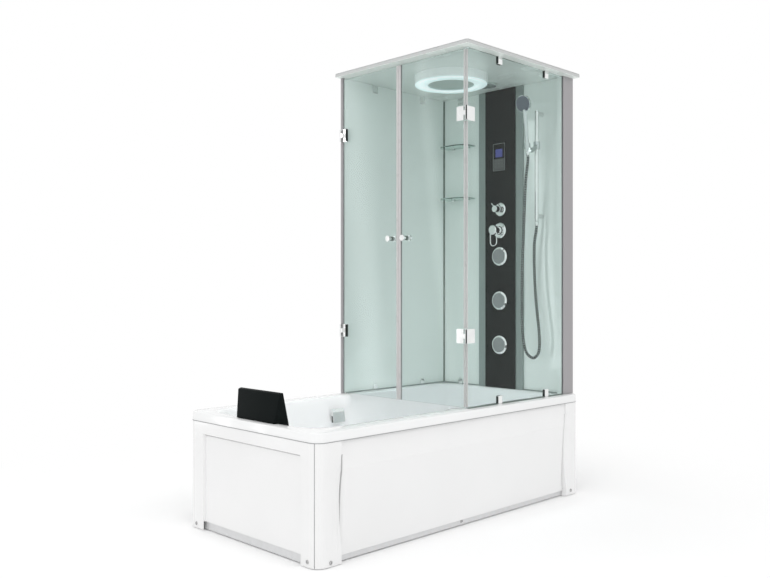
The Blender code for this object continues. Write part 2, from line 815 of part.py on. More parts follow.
def groove_depth(z):
    """The lens-shaped hollow between a post and the panel, deepest at mid height."""
    share = (z - GROOVE_BOTTOM_Z) / (GROOVE_TOP_Z - GROOVE_BOTTOM_Z)
    return GROOVE_DEPTH * math.sin(math.pi * min(1, max(0, share)))


def front_recess(run, z):
    """How far the front apron's surface lies inside the unit's outline."""
    from_end = min(run, FLAT_LENGTH - run) + CORNER_RADIUS
    lens = groove_depth(z)
    deepest = panel_recess(z) + lens
    if from_end <= POST_DIP_START:
        return 0
    if from_end < POST_WIDTH + GROOVE_WIDTH / 2:
        share = (from_end - POST_DIP_START) / (POST_WIDTH - POST_DIP_START)
        return lens * share**POST_DIP_POWER
    share = min(1, (from_end - POST_WIDTH - GROOVE_WIDTH) / GROOVE_BLEND)
    return deepest - lens * math.sin(math.pi / 2 * max(0, share))


def build_front_apron():
    turn_steps = 4
    half = [-SEAM_ARC * (1 - step / turn_steps) for step in range(turn_steps)]
    dip = POST_WIDTH - POST_DIP_START
    inner = [0] + [POST_DIP_START - CORNER_RADIUS + dip * step / 3 for step in range(3)]
    panel_start = POST_WIDTH - CORNER_RADIUS + GROOVE_WIDTH
    inner += [POST_WIDTH - CORNER_RADIUS, panel_start, panel_start + GROOVE_BLEND / 3]
    inner += [panel_start + GROOVE_BLEND * 2 / 3, panel_start + GROOVE_BLEND]
    half += inner
    columns = half + [FLAT_LENGTH - run for run in reversed(half)]
    lens_steps = 5
    rows = [APRON_FOOT, PANEL_BOTTOM_Z, GROOVE_BOTTOM_Z]
    rows += [
        GROOVE_BOTTOM_Z + (CREASE_Z - GROOVE_BOTTOM_Z) * step / lens_steps for step in range(1, lens_steps)
    ]
    rows += [CREASE_Z, (CREASE_Z + GROOVE_TOP_Z) / 2, GROOVE_TOP_Z, APRON_TOP_Z]

    def surface(run, z):
        place, normal = front_place(run)
        place = place - normal * front_recess(run, z)
        return (place.x, place.y, z)

    def kept(run, z):
        return z > PANEL_BOTTOM_Z or not panel_start < run < FLAT_LENGTH - panel_start

    mesh = sheet(columns, rows, surface, lambda run: front_place(run)[1], APRON_WALL, kept)
    add("front_apron", mesh, white_panel(), round_piece=True)


def end_place(run):
    """A point and outward normal on the head end's outline, run metres from the flat's front."""
    centre = Vector((HEAD_X + CORNER_RADIUS, FRONT_Y + CORNER_RADIUS, 0))
    if run < 0:
        angle = -run / CORNER_RADIUS
        normal = Vector((-math.cos(angle), -math.sin(angle), 0))
    elif run > FLAT_WIDTH:
        angle = (run - FLAT_WIDTH) / CORNER_RADIUS
        centre = Vector((HEAD_X + CORNER_RADIUS, BACK_Y - CORNER_RADIUS, 0))
        normal = Vector((-math.cos(angle), math.sin(angle), 0))
    else:
        centre.y += run
        normal = Vector((-1, 0, 0))
    return centre + normal * CORNER_RADIUS, normal


def build_end_apron():
    front_turn = ARC_LENGTH - SEAM_ARC - SEAM_GAP
    recess_start = END_RECESS_FRONT - CORNER_RADIUS
    recess_end = FLAT_WIDTH + CORNER_RADIUS - END_RECESS_BACK
    columns = [-front_turn, -front_turn / 2, 0, recess_start, recess_start + END_RECESS_DRAFT]
    columns += [recess_end - END_RECESS_DRAFT, recess_end, FLAT_WIDTH]
    columns += [FLAT_WIDTH + ARC_LENGTH * step / 4 for step in range(1, 5)]
    rows = [APRON_FOOT, END_RECESS_BOTTOM_Z, END_RECESS_TOP_Z - END_RECESS_DRAFT, END_RECESS_TOP_Z, APRON_TOP_Z]

    def surface(run, z):
        place, normal = end_place(run)
        inside = recess_start < run < recess_end and z < END_RECESS_TOP_Z
        place = place - normal * (END_RECESS if inside else 0)
        return (place.x, place.y, z)

    def kept(run, z):
        return z > END_RECESS_BOTTOM_Z or not recess_start < run < recess_end

    mesh = sheet(columns, rows, surface, lambda run: end_place(run)[1], APRON_WALL, kept)
    add("end_apron", mesh, white_panel(), round_piece=True)


# Support frame and feet

FRAME_TOP_Z = RIM_UNDERSIDE_Z - FIT_GAP
RAIL_TOP_Z_UNDER = FLOOR_UNDERSIDE_Z - FIT_GAP
RAIL_UNDERSIDE_Z = RAIL_TOP_Z_UNDER - FRAME_RAIL_HEIGHT
FRAME_LOW = (HEAD_X + FRAME_HEAD_INSET, FRONT_Y + FRAME_FRONT_INSET)
FRAME_HIGH = (SHOWER_X - FRAME_SHOWER_INSET, BACK_Y - FRAME_BACK_INSET)
CROSS_XS = (-CROSS_MEMBER_OFFSET, MIDDLE_MEMBER_X, CROSS_MEMBER_OFFSET)


def build_frame():
    low_x, low_y = FRAME_LOW
    high_x, high_y = FRAME_HIGH
    boxes = []
    for y in (-MAIN_RAIL_OFFSET, MAIN_RAIL_OFFSET):
        side = MAIN_RAIL_WIDTH / 2
        boxes.append(((low_x, y - side, RAIL_UNDERSIDE_Z), (high_x, y + side, RAIL_TOP_Z_UNDER)))
    lines = [x - FRAME_TUBE / 2 for x in CROSS_XS]
    for x in [low_x, *lines, high_x - FRAME_TUBE]:
        boxes.append(((x, low_y, RAIL_UNDERSIDE_Z), (x + FRAME_TUBE, high_y, RAIL_TOP_Z_UNDER)))
        boxes.append(((x, low_y, PLINTH_BOTTOM_Z), (x + FRAME_TUBE, low_y + FRAME_TUBE, FRAME_TOP_Z)))
        boxes.append(((x, high_y - FRAME_TUBE, RAIL_UNDERSIDE_Z), (x + FRAME_TUBE, high_y, FRAME_TOP_Z)))
    plinth_top = PLINTH_BOTTOM_Z + PLINTH_HEIGHT
    end_plinth_top = PLINTH_BOTTOM_Z + END_PLINTH_HEIGHT
    boxes.append(((low_x, low_y, PLINTH_BOTTOM_Z), (high_x, low_y + FRAME_TUBE, plinth_top)))
    boxes.append(((low_x, low_y, PLINTH_BOTTOM_Z), (low_x + FRAME_TUBE, high_y, end_plinth_top)))
    boxes.append(((low_x, high_y - FRAME_TUBE, PLINTH_BOTTOM_Z), (low_x + FRAME_TUBE, high_y, FRAME_TOP_Z)))
    add("support_frame", welded_boxes(boxes), grey_steel())


def build_feet():
    stem = FOOT_STEM_DIAMETER / 2
    nut = FOOT_NUT_DIAMETER / 2
    top = RAIL_UNDERSIDE_Z - FIT_GAP
    profile = [(0, 0), (FOOT_PAD_DIAMETER / 2, 0), (FOOT_PAD_DIAMETER / 2, FOOT_PAD_HEIGHT)]
    profile += [(stem, FOOT_PAD_HEIGHT), (stem, top - FOOT_NUT_HEIGHT), (nut, top - FOOT_NUT_HEIGHT)]
    profile += [(nut, top), (0, top)]
    places = [(x, y) for x in (CROSS_XS[0], CROSS_XS[2]) for y in (-MAIN_RAIL_OFFSET, MAIN_RAIL_OFFSET)]
    for number, (x, y) in enumerate(places, start=1):
        add(f"foot_{number}", turned(profile, (x, y, 0), (0, 0, 1), 12), grey_steel(), (x, y, 0), True)


# Waste and overflow


def build_drain():
    place = (DRAIN_X, DRAIN_Y, 0)
    tail = DRAIN_HOLE_DIAMETER / 2 - DRAIN_TAIL_CLEARANCE
    bore = DRAIN_BORE_DIAMETER / 2
    seat = FLOOR_Z + FIT_GAP
    flange_top = seat + DRAIN_FLANGE_HEIGHT
    profile = [(bore, flange_top), (DRAIN_FLANGE_DIAMETER / 2, flange_top), (DRAIN_FLANGE_DIAMETER / 2, seat)]
    profile += [(tail, seat), (tail, DRAIN_TAIL_Z), (bore, DRAIN_TAIL_Z)]
    add("drain_flange", turned(profile, place, (0, 0, 1), 24), chrome(), place, True)

    cap = PLUG_DIAMETER / 2
    stem = PLUG_STEM_DIAMETER / 2
    rest = flange_top + FIT_GAP
    profile = [(0, rest - PLUG_STEM_LENGTH), (stem, rest - PLUG_STEM_LENGTH), (stem, rest), (cap, rest)]
    profile += [(cap, rest + PLUG_HEIGHT / 2), (cap - PLUG_HEIGHT / 2, rest + PLUG_HEIGHT)]
    profile += [(0, rest + PLUG_HEIGHT)]
    add("drain_plug", turned(profile, place, (0, 0, 1), 24), chrome(), place, True)

    top = DRAIN_TAIL_Z - FIT_GAP
    neck = TRAP_NECK_DIAMETER / 2
    body = TRAP_DIAMETER / 2
    shoulder = top - TRAP_NECK_LENGTH
    profile = [(0, TRAP_BOTTOM_Z), (body, TRAP_BOTTOM_Z), (body, shoulder), (neck, shoulder)]
    profile += [(neck, top), (bore, top), (bore, TRAP_BOTTOM_Z + SHELL_WALL), (0, TRAP_BOTTOM_Z + SHELL_WALL)]
    pot = turned(profile, place, (0, 0, 1), 20)
    middle = (DRAIN_X, DRAIN_Y, PIPE_Z)
    start = body - SHELL_WALL
    outlet = cylinder(
        TRAP_OUTLET_DIAMETER / 2,
        Vector(middle) + Vector((start, 0, 0)),
        (1, 0, 0),
        TRAP_OUTLET_LENGTH + SHELL_WALL,
        16,
    )
    inlet = cylinder(
        OVERFLOW_PIPE_DIAMETER / 2 + SHELL_WALL / 2,
        Vector(middle) + Vector((0, start, 0)),
        (0, 1, 0),
        TRAP_INLET_LENGTH + SHELL_WALL,
        12,
    )
    add("drain_trap", joined(pot, outlet, inlet), grey_plastic(), place, True)


def build_overflow():
    place, normal = wall_frame()
    across = Vector((1, 0, 0))
    up = normal.cross(across)
    stem = OVERFLOW_HOLE_DIAMETER / 2 - OVERFLOW_STEM_CLEARANCE
    base = OVERFLOW_BASE_DIAMETER / 2
    back = -SHELL_WALL - OVERFLOW_STEM_REACH
    seat = FIT_GAP
    front = OVERFLOW_STANDOFF + OVERFLOW_PLATE / 2
    profile = [(0, back), (stem, back), (stem, seat), (base, seat), (base, front), (0, front)]
    stub = turned(profile, place, normal, 20)
    half = OVERFLOW_HEIGHT / 2
    near = OVERFLOW_STANDOFF
    far = near + OVERFLOW_THICKNESS
    plate = OVERFLOW_PLATE
    outline = [(near, -half), (near + plate, -half), (near + plate, 0), (far - plate, 0)]
    outline += [(far - plate, -half), (far, -half), (far, half / 2), (far - plate, half), (near, half)]
    hood = prism(outline, "x", -OVERFLOW_WIDTH / 2, OVERFLOW_WIDTH / 2)
    turn = Matrix((across, normal, up)).transposed().to_4x4()
    hood.transform(Matrix.Translation(place) @ turn)
    bm = bmesh.new()
    bm.from_mesh(hood)
    bmesh.ops.recalc_face_normals(bm, faces=bm.faces)
    bm.to_mesh(hood)
    bm.free()
    add("overflow_cover", joined(hood, stub), chrome(), place, True)

    radius = OVERFLOW_PIPE_DIAMETER / 2
    start = place + normal * (back - FIT_GAP)
    points = [start, start - normal * radius]
    bend = OVERFLOW_PIPE_BEND
    corner = points[-1]
    steps = 4
    for step in range(1, steps + 1):
        angle = math.pi / 2 * step / steps
        points.append(corner + Vector((0, bend * math.sin(angle), -bend * (1 - math.cos(angle)))))
    down = points[-1]
    low = Vector((down.x, down.y, PIPE_Z + bend))
    for step in range(steps + 1):
        angle = math.pi / 2 * step / steps
        points.append(low + Vector((0, -bend * (1 - math.cos(angle)), -bend * math.sin(angle))))
    end_y = DRAIN_Y + TRAP_DIAMETER / 2 + TRAP_INLET_LENGTH + FIT_GAP
    points.append(Vector((down.x, end_y, PIPE_Z)))
    add("overflow_pipe", tube(points, radius, 3), grey_plastic(), place, True)


# Headrest


def head_wall(depth):
    """How far the line of the basin's head wall lies from the unit's end, below the rim."""
    return RIM_MARGINS[0] + (FLOOR_MARGINS[0] - RIM_MARGINS[0]) * depth / BASIN_DEPTH


def build_headrest():
    seat = RIM_HEIGHT + PAD_GAP
    tip_depth = RIM_HEIGHT - PAD_TIP_Z
    lean = (FLOOR_MARGINS[0] - RIM_MARGINS[0]) / BASIN_DEPTH
    stand_off = PAD_GAP * math.hypot(1, lean) + FIT_GAP
    tip_back = head_wall(tip_depth) + stand_off
    section = [(PAD_BACK_INSET, seat)]
    for offset, depth in basin_levels(0)[:LIP_STEPS + 1]:
        section.append((head_wall(depth) + offset + stand_off, seat - depth))
    section.append((tip_back, PAD_TIP_Z))
    section += [(tip_back + PAD_TIP_THICKNESS, PAD_TIP_Z), (PAD_BELLY_INSET, PAD_BELLY_Z)]
    section += [(PAD_TOP_FRONT_INSET, PAD_TOP_Z), (PAD_TOP_BACK_INSET, PAD_TOP_Z - PAD_CORNER / 2)]
    points = []
    for side in (-1, 1):
        for inset, z in section:
            rise = min(1, max(0, (z - PAD_TIP_Z) / (PAD_TOP_Z - PAD_TIP_Z)))
            half = (PAD_BOTTOM_WIDTH + (PAD_TOP_WIDTH - PAD_BOTTOM_WIDTH) * rise) / 2
            points.append((HEAD_X + inset, PAD_Y + side * half, z))
    count = len(section)
    faces = [tuple(range(count)), tuple(range(count, 2 * count))]
    faces += [(i, (i + 1) % count, count + (i + 1) % count, count + i) for i in range(count)]
    add("headrest", mesh_from(points, faces), black_foam(), (HEAD_X + PAD_BACK_INSET, PAD_Y, seat))


# Cabin: walls, profiles and roof

PANEL_LOW_Z = RIM_HEIGHT + FIT_GAP
PANEL_HIGH_Z = ROOF_UNDERSIDE_Z - FIT_GAP
PROFILE_HIGH_X = SHOWER_X - PROFILE_MARGIN
PROFILE_HIGH_Y = BACK_Y - PROFILE_MARGIN
FRONT_PROFILE_X = PROFILE_HIGH_X - FRONT_PROFILE_LENGTH
FRONT_PROFILE_Y = FIXED_GLASS_Y - GLASS / 2 - FIT_GAP - PROFILE_LIP
FRONT_PROFILE_BACK_Y = FRONT_PROFILE_Y + FRONT_PROFILE_WIDTH
SIDE_PROFILE_X = DOOR_X - SIDE_PROFILE_SETBACK
DOOR_FACE_X = DOOR_X - GLASS / 2
BACK_DOOR_EDGE_Y = BACK_WALL_Y - DOOR_EDGE_GAP
FRONT_DOOR_EDGE_Y = FIXED_GLASS_Y + GLASS / 2 + CORNER_EDGE_GAP


def build_walls():
    side_step = SIDE_PROFILE_X + SIDE_PROFILE_STEP
    back = box(
        (side_step + FIT_GAP, BACK_WALL_Y, PANEL_LOW_Z),
        (END_WALL_X - FIT_GAP, BACK_WALL_Y + GLASS, PANEL_HIGH_Z),
    )
    add("back_wall", back, pale_wall_glass())
    end_start = FRONT_PROFILE_BACK_Y - END_SLOT_DEPTH + FIT_GAP
    end = box((END_WALL_X, end_start, PANEL_LOW_Z), (END_WALL_X + GLASS, BACK_WALL_Y + GLASS, PANEL_HIGH_Z))
    add("end_wall", end, pale_wall_glass())


def build_profiles():
    slot_low = FIXED_GLASS_Y - GLASS / 2 - FIT_GAP
    slot_high = FIXED_GLASS_Y + GLASS / 2 + FIT_GAP
    slot_end = FRONT_PROFILE_X + FRONT_SLOT_DEPTH + FIT_GAP
    wall_low = END_WALL_X - FIT_GAP
    wall_high = END_WALL_X + GLASS + FIT_GAP
    wall_slot = FRONT_PROFILE_BACK_Y - END_SLOT_DEPTH
    outline = [(FRONT_PROFILE_X, FRONT_PROFILE_Y), (PROFILE_HIGH_X, FRONT_PROFILE_Y)]
    outline += [(PROFILE_HIGH_X, FRONT_PROFILE_BACK_Y), (wall_high, FRONT_PROFILE_BACK_Y)]
    outline += [(wall_high, wall_slot), (wall_low, wall_slot), (wall_low, FRONT_PROFILE_BACK_Y)]
    outline += [(FRONT_PROFILE_X, FRONT_PROFILE_BACK_Y), (FRONT_PROFILE_X, slot_high)]
    outline += [(slot_end, slot_high), (slot_end, slot_low), (FRONT_PROFILE_X, slot_low)]
    add("front_corner_profile", prism(outline, "z", PANEL_LOW_Z, PANEL_HIGH_Z), grey_aluminium())

    inner_x = END_WALL_X + GLASS + FIT_GAP
    inner_y = BACK_WALL_Y + GLASS + FIT_GAP
    low_x = PROFILE_HIGH_X - BACK_PROFILE_LENGTH
    low_y = PROFILE_HIGH_Y - BACK_PROFILE_WIDTH
    outline = [(low_x, inner_y), (inner_x, inner_y), (inner_x, low_y), (PROFILE_HIGH_X, low_y)]
    outline += [(PROFILE_HIGH_X, PROFILE_HIGH_Y), (low_x, PROFILE_HIGH_Y)]
    add("back_corner_profile", prism(outline, "z", PANEL_LOW_Z, PANEL_HIGH_Z), grey_aluminium())

    high_x = SIDE_PROFILE_X + SIDE_PROFILE_LENGTH
    step_x = SIDE_PROFILE_X + SIDE_PROFILE_STEP
    outline = [(SIDE_PROFILE_X, BACK_WALL_Y), (step_x, BACK_WALL_Y), (step_x, inner_y), (high_x, inner_y)]
    outline += [(high_x, PROFILE_HIGH_Y), (SIDE_PROFILE_X, PROFILE_HIGH_Y)]
    add("door_side_profile", prism(outline, "z", PANEL_LOW_Z, PANEL_HIGH_Z), grey_aluminium())


def build_roof():
    outline = rounded_outline((SHOWER_X - ROOF_LENGTH, FRONT_Y), (SHOWER_X, BACK_Y), ROOF_CORNER, 2)
    add("roof", prism(outline, "z", ROOF_UNDERSIDE_Z, UNIT_HEIGHT), white_acrylic())

    down = (0, 0, -1)
    ceiling = ROOF_UNDERSIDE_Z - FIT_GAP
    centre = (RING_X, RING_Y, ceiling)
    bore = RING_BORE / 2
    rim = RING_DIAMETER / 2
    profile = [(bore, 0), (bore, RING_DROP), (rim - RIM_EDGE_RADIUS, RING_DROP)]
    profile += [(rim, RING_DROP - RIM_EDGE_RADIUS), (rim, 0)]
    add("ceiling_ring", turned(profile, centre, down, 32), white_acrylic(), centre, True)
    neck = ROSE_NECK_DIAMETER / 2
    rose = ROSE_DIAMETER / 2
    profile = [(0, 0), (neck, 0), (neck, ROSE_DROP - ROSE_HEIGHT), (rose, ROSE_DROP - ROSE_HEIGHT)]
    profile += [(rose, ROSE_DROP), (0, ROSE_DROP)]
    add("rain_rose", turned(profile, centre, down, 28), grey_plastic(), centre, True)
    centre = (SPEAKER_X, SPEAKER_Y, ceiling)
    profile = [(0, 0), (SPEAKER_DIAMETER / 2, 0), (SPEAKER_DIAMETER / 2, SPEAKER_HEIGHT), (0, SPEAKER_HEIGHT)]
    add("speaker", turned(profile, centre, down, 20), grey_plastic(), centre, True)


def build_fixed_glass():
    low_z = PANEL_LOW_Z + CLAMP_BASE + FIT_GAP
    high_z = PANEL_HIGH_Z - CLAMP_BASE - FIT_GAP
    low_x = DOOR_X + GLASS / 2 + CORNER_EDGE_GAP
    high_x = FRONT_PROFILE_X + FRONT_SLOT_DEPTH
    half = GLASS / 2
    panel = box((low_x, FIXED_GLASS_Y - half, low_z), (high_x, FIXED_GLASS_Y + half, high_z))
    add("fixed_glass", panel, clear_glass())
    inner = half + FIT_GAP
    outer = inner + CLAMP_PLATE
    number = 1
    for start, upward in ((PANEL_LOW_Z, 1), (PANEL_HIGH_Z, -1)):
        base = start + upward * CLAMP_BASE
        tip = start + upward * CLAMP_HEIGHT
        outline = [(-outer, start), (outer, start), (outer, tip), (inner, tip), (inner, base)]
        outline += [(-inner, base), (-inner, tip), (-outer, tip)]
        outline = [(FIXED_GLASS_Y + across, z) for across, z in outline]
        for offset in CLAMP_OFFSETS:
            x = DOOR_X + offset
            clamp = prism(outline, "x", x - CLAMP_WIDTH / 2, x + CLAMP_WIDTH / 2)
            add(f"glass_clamp_{number}", clamp, chrome(), (x, FIXED_GLASS_Y, start))
            number += 1


# Doors

DOOR_LOW_Z = RIM_HEIGHT + DOOR_BOTTOM_GAP
DOOR_HIGH_Z = ROOF_UNDERSIDE_Z - DOOR_TOP_GAP
BACK_PIVOT = (DOOR_X - BACK_PIVOT_OUT, BACK_WALL_Y + BACK_PIVOT_SIDE)
FRONT_PIVOT = (DOOR_X - FRONT_PIVOT_OUT, FIXED_GLASS_Y - FRONT_PIVOT_OUT)


def build_door(name, edge_y, side, knob_offset, pivot):
    """One leaf: side is 1 where the leaf runs from the middle to +Y, and -1 to -Y."""
    half = GLASS / 2
    inner_y = DOOR_MEET_Y + side * SEAL_BULB
    low_y, high_y = sorted((edge_y, inner_y))
    knob_y = DOOR_MEET_Y + side * knob_offset
    pane = box((DOOR_X - half, low_y, DOOR_LOW_Z), (DOOR_X + half, high_y, DOOR_HIGH_Z))
    drill = cylinder(
        KNOB_HOLE_DIAMETER / 2,
        (DOOR_X - half - OVERRUN, knob_y, KNOB_Z),
        (1, 0, 0),
        GLASS + 2 * OVERRUN,
        12,
    )
    origin = (*pivot, DOOR_LOW_Z)
    add(f"{name}_door_glass", cut(pane, drill), clear_glass(), origin)

    slot = half + FIT_GAP
    outer = slot + SEAL_LIP
    start = DOOR_MEET_Y + side * SEAL_MEET_GAP / 2
    web = inner_y - side * FIT_GAP
    tip = start + side * SEAL_WIDTH
    outline = [(-outer, start), (outer, start), (outer, tip), (slot, tip), (slot, web)]
    outline += [(-slot, web), (-slot, tip), (-outer, tip)]
    outline = [(DOOR_X + across, y) for across, y in outline]
    add(f"{name}_door_seal", prism(outline, "z", DOOR_LOW_Z, DOOR_HIGH_Z), grey_seal(), origin)

    disc = KNOB_DIAMETER / 2
    neck = KNOB_NECK_DIAMETER / 2
    spindle = KNOB_HOLE_DIAMETER / 2 - FIT_GAP
    shoulder = KNOB_REACH - KNOB_DISC
    half_profile = [(spindle, slot), (neck, slot), (neck, shoulder), (disc, shoulder), (disc, KNOB_REACH)]
    half_profile += [(0, KNOB_REACH)]
    profile = [(radius, -height) for radius, height in reversed(half_profile)] + half_profile
    knob = turned(profile, (DOOR_X, knob_y, KNOB_Z), (1, 0, 0), 16)
    add(f"{name}_door_knob", knob, chrome(), origin, True)


def hinge_leaf(name, pivot, middle_z, plate, web, moving):
    """A leaf with its knuckles: the middle third for a moving leaf, both outer ones for a fixed one.

    The plate and the web are (low x, low y, high x, high y), measured from the pivot.
    """
    x, y = pivot
    half = HINGE_HEIGHT / 2
    third = HINGE_HEIGHT / 6
    gap = HINGE_KNUCKLE_GAP / 2
    spans = [(-third + gap, third - gap)] if moving else [(-half, -third - gap), (third + gap, half)]
    leaf = box((x + plate[0], y + plate[1], middle_z - half), (x + plate[2], y + plate[3], middle_z + half))
    extras = []
    for low, high in spans:
        radius = HINGE_KNUCKLE_DIAMETER / 2
        extras.append(cylinder(radius, (x, y, middle_z + low), (0, 0, 1), high - low, 12))
        inner_low = middle_z + low
        inner_high = middle_z + high
        extras.append(box((x + web[0], y + web[1], inner_low), (x + web[2], y + web[3], inner_high)))
    add(name, joined(leaf, *extras), chrome(), (x, y, middle_z), True)


def build_back_hinge(name, middle_z):
    x, y = BACK_PIVOT
    clear = HINGE_KNUCKLE_DIAMETER / 2 + KNUCKLE_CLEARANCE
    glass = DOOR_FACE_X - FIT_GAP - x
    edge = BACK_DOOR_EDGE_Y - y
    profile = SIDE_PROFILE_X - FIT_GAP - x
    arm = HINGE_WEB / 2
    plate = (glass - HINGE_PLATE, edge - BACK_HINGE_LEAF, glass, edge)
    web = (-arm, edge - HINGE_WEB, profile - KNUCKLE_CLEARANCE, 0)
    hinge_leaf(f"{name}_hinge_moving_leaf", BACK_PIVOT, middle_z, plate, web, True)
    high = PROFILE_HIGH_Y - y
    plate = (clear, KNUCKLE_CLEARANCE, profile, high)
    web = (0, 0, profile, arm)
    hinge_leaf(f"{name}_hinge_fixed_leaf", BACK_PIVOT, middle_z, plate, web, False)


def build_front_hinge(name, middle_z):
    x, y = FRONT_PIVOT
    clear = HINGE_KNUCKLE_DIAMETER / 2 + KNUCKLE_CLEARANCE
    glass = DOOR_FACE_X - FIT_GAP - x
    edge = FRONT_DOOR_EDGE_Y - y
    arm = HINGE_WEB / 2
    plate = (glass - FRONT_HINGE_PLATE, edge, glass, edge + FRONT_HINGE_DOOR_LEAF)
    web = (-arm, 0, arm, edge + HINGE_WEB / 2)
    hinge_leaf(f"{name}_hinge_moving_leaf", FRONT_PIVOT, middle_z, plate, web, True)
    face = FIXED_GLASS_Y - GLASS / 2 - FIT_GAP - y
    plate = (clear, face - FRONT_HINGE_PLATE, clear + FRONT_HINGE_GLASS_LEAF, face)
    web = (0, -arm, clear + HINGE_WEB / 2, arm)
    hinge_leaf(f"{name}_hinge_fixed_leaf", FRONT_PIVOT, middle_z, plate, web, False)


def build_doors():
    build_door("back", BACK_DOOR_EDGE_Y, 1, BACK_KNOB_OFFSET, BACK_PIVOT)
    build_door("front", FRONT_DOOR_EDGE_Y, -1, FRONT_KNOB_OFFSET, FRONT_PIVOT)
    for level, middle_z in (("upper", HINGE_UPPER_Z), ("lower", HINGE_LOWER_Z)):
        build_back_hinge(f"back_{level}", middle_z)
        build_front_hinge(f"front_{level}", middle_z)


# Shower column with its jets, display, mixer and diverter

OUT = (-1, 0, 0)
FITTING_X = PANEL_X - FIT_GAP


def build_column():
    top = ROOF_UNDERSIDE_Z - HOUSING_TOP_GAP
    half = HOUSING_WIDTH / 2
    housing = box(
        (HOUSING_X, COLUMN_Y - half, PANEL_LOW_Z),
        (HOUSING_X + HOUSING_THICKNESS, COLUMN_Y + half, top),
    )
    add("column_housing", housing, grey_aluminium())
    middle = COLUMN_Y + PANEL_SHIFT
    half = PANEL_WIDTH / 2
    panel = box((PANEL_X, middle - half, PANEL_LOW_Z), (PANEL_X + PANEL_THICKNESS, middle + half, top))
    add("column_panel", panel, dark_glass())

    rim = JET_DIAMETER / 2
    face = JET_FACE_DIAMETER / 2
    profile = [(0, 0), (rim, 0), (rim, JET_HEIGHT / 2), (face, JET_HEIGHT), (face, JET_HEIGHT + JET_FACE_HEIGHT)]
    profile += [(0, JET_HEIGHT + JET_FACE_HEIGHT)]
    for number in range(3):
        centre = (FITTING_X, JET_Y, JET_TOP_Z - number * JET_PITCH)
        add(f"jet_{number + 1}", turned(profile, centre, OUT, 20), chrome(), centre, True)

    low = (FITTING_X - DISPLAY_THICKNESS, DISPLAY_Y - DISPLAY_WIDTH / 2, DISPLAY_Z - DISPLAY_HEIGHT / 2)
    high = (FITTING_X, DISPLAY_Y + DISPLAY_WIDTH / 2, DISPLAY_Z + DISPLAY_HEIGHT / 2)
    add("display", box(low, high), dark_glass())


def build_mixer():
    base = MIXER_BASE_DIAMETER / 2
    edge = MIXER_BASE_HEIGHT / 2
    centre = Vector((FITTING_X, MIXER_Y, MIXER_Z))
    profile = [(0, 0), (base, 0), (base, edge), (base - edge, MIXER_BASE_HEIGHT), (0, MIXER_BASE_HEIGHT)]
    add("mixer_escutcheon", turned(profile, centre, OUT, 24), chrome(), centre, True)

    start = centre + Vector(OUT) * (MIXER_BASE_HEIGHT + FIT_GAP)
    body = MIXER_BODY_DIAMETER / 2
    neck = MIXER_NECK_DIAMETER / 2
    length = MIXER_BODY_LENGTH + MIXER_NECK_LENGTH
    profile = [(0, 0), (body, 0), (body, MIXER_BODY_LENGTH), (neck, MIXER_BODY_LENGTH), (neck, length), (0, length)]
    pivot = start + Vector(OUT) * (length - MIXER_PIVOT_SETBACK)
    across = Vector((0, 1, 0))
    pin = MIXER_PIN_DIAMETER / 2
    drill = cylinder(pin + FIT_GAP, pivot - across * (neck + OVERRUN), across, 2 * (neck + OVERRUN), 12)
    add("mixer_body", cut(turned(profile, start, OUT, 20), drill), chrome(), start, True)

    rim = MIXER_CAP_DIAMETER / 2
    bore = MIXER_CAP_BORE / 2
    back = MIXER_CAP_BACK
    front = MIXER_CAP_DEPTH - back
    floor = front - MIXER_CAP_FRONT
    profile = [(0, floor), (bore, floor), (bore, -back), (rim, -back), (rim, front - MIXER_CAP_FRONT)]
    profile += [(rim - MIXER_CAP_FRONT, front), (0, front)]
    cap = turned(profile, pivot, OUT, 20)
    wall = (rim + bore) / 2
    axle = cylinder(pin, pivot - across * wall, across, 2 * wall, 12)
    half = (MIXER_LOOP_WIDTH - MIXER_LOOP_BAR) / 2
    bottom = -MIXER_LOOP_BOTTOM + MIXER_LOOP_BAR / 2 + half
    top = -MIXER_CAP_DEPTH / 2
    steps = 10
    route = [(half, top)]
    for step in range(steps + 1):
        angle = math.pi * step / steps
        route.append((half * math.cos(angle), bottom - half * math.sin(angle)))
    route.append((-half, top))
    points = [pivot + Vector((0, y, z)) for y, z in route]
    loop = tube(points, MIXER_LOOP_BAR / 2, 2)
    add("mixer_lever", joined(cap, axle, loop), chrome(), pivot, True)


def build_diverter():
    base = DIVERTER_BASE_DIAMETER / 2
    edge = DIVERTER_BASE_HEIGHT / 2
    centre = Vector((FITTING_X, DIVERTER_Y, DIVERTER_Z))
    profile = [(0, 0), (base, 0), (base, edge), (base - edge, DIVERTER_BASE_HEIGHT), (0, DIVERTER_BASE_HEIGHT)]
    add("diverter_escutcheon", turned(profile, centre, OUT, 20), chrome(), centre, True)

    start = centre + Vector(OUT) * (DIVERTER_BASE_HEIGHT + FIT_GAP)
    neck = DIVERTER_NECK_DIAMETER / 2
    knob = DIVERTER_KNOB_DIAMETER / 2
    front = DIVERTER_NECK_LENGTH + DIVERTER_KNOB_LENGTH
    profile = [(0, 0), (neck, 0), (neck, DIVERTER_NECK_LENGTH), (knob, DIVERTER_NECK_LENGTH), (knob, front)]
    profile += [(0, front)]
    turn = math.radians(DIVERTER_PIN_ANGLE)
    direction = Vector((0, math.sin(turn), math.cos(turn)))
    middle = start + Vector(OUT) * (DIVERTER_NECK_LENGTH + DIVERTER_KNOB_LENGTH / 2)
    pin = cylinder(DIVERTER_PIN_DIAMETER / 2, middle, direction, DIVERTER_PIN_REACH, 10)
    add("diverter_knob", joined(turned(profile, start, OUT, 20), pin), chrome(), start, True)


# Shelves and hand shower


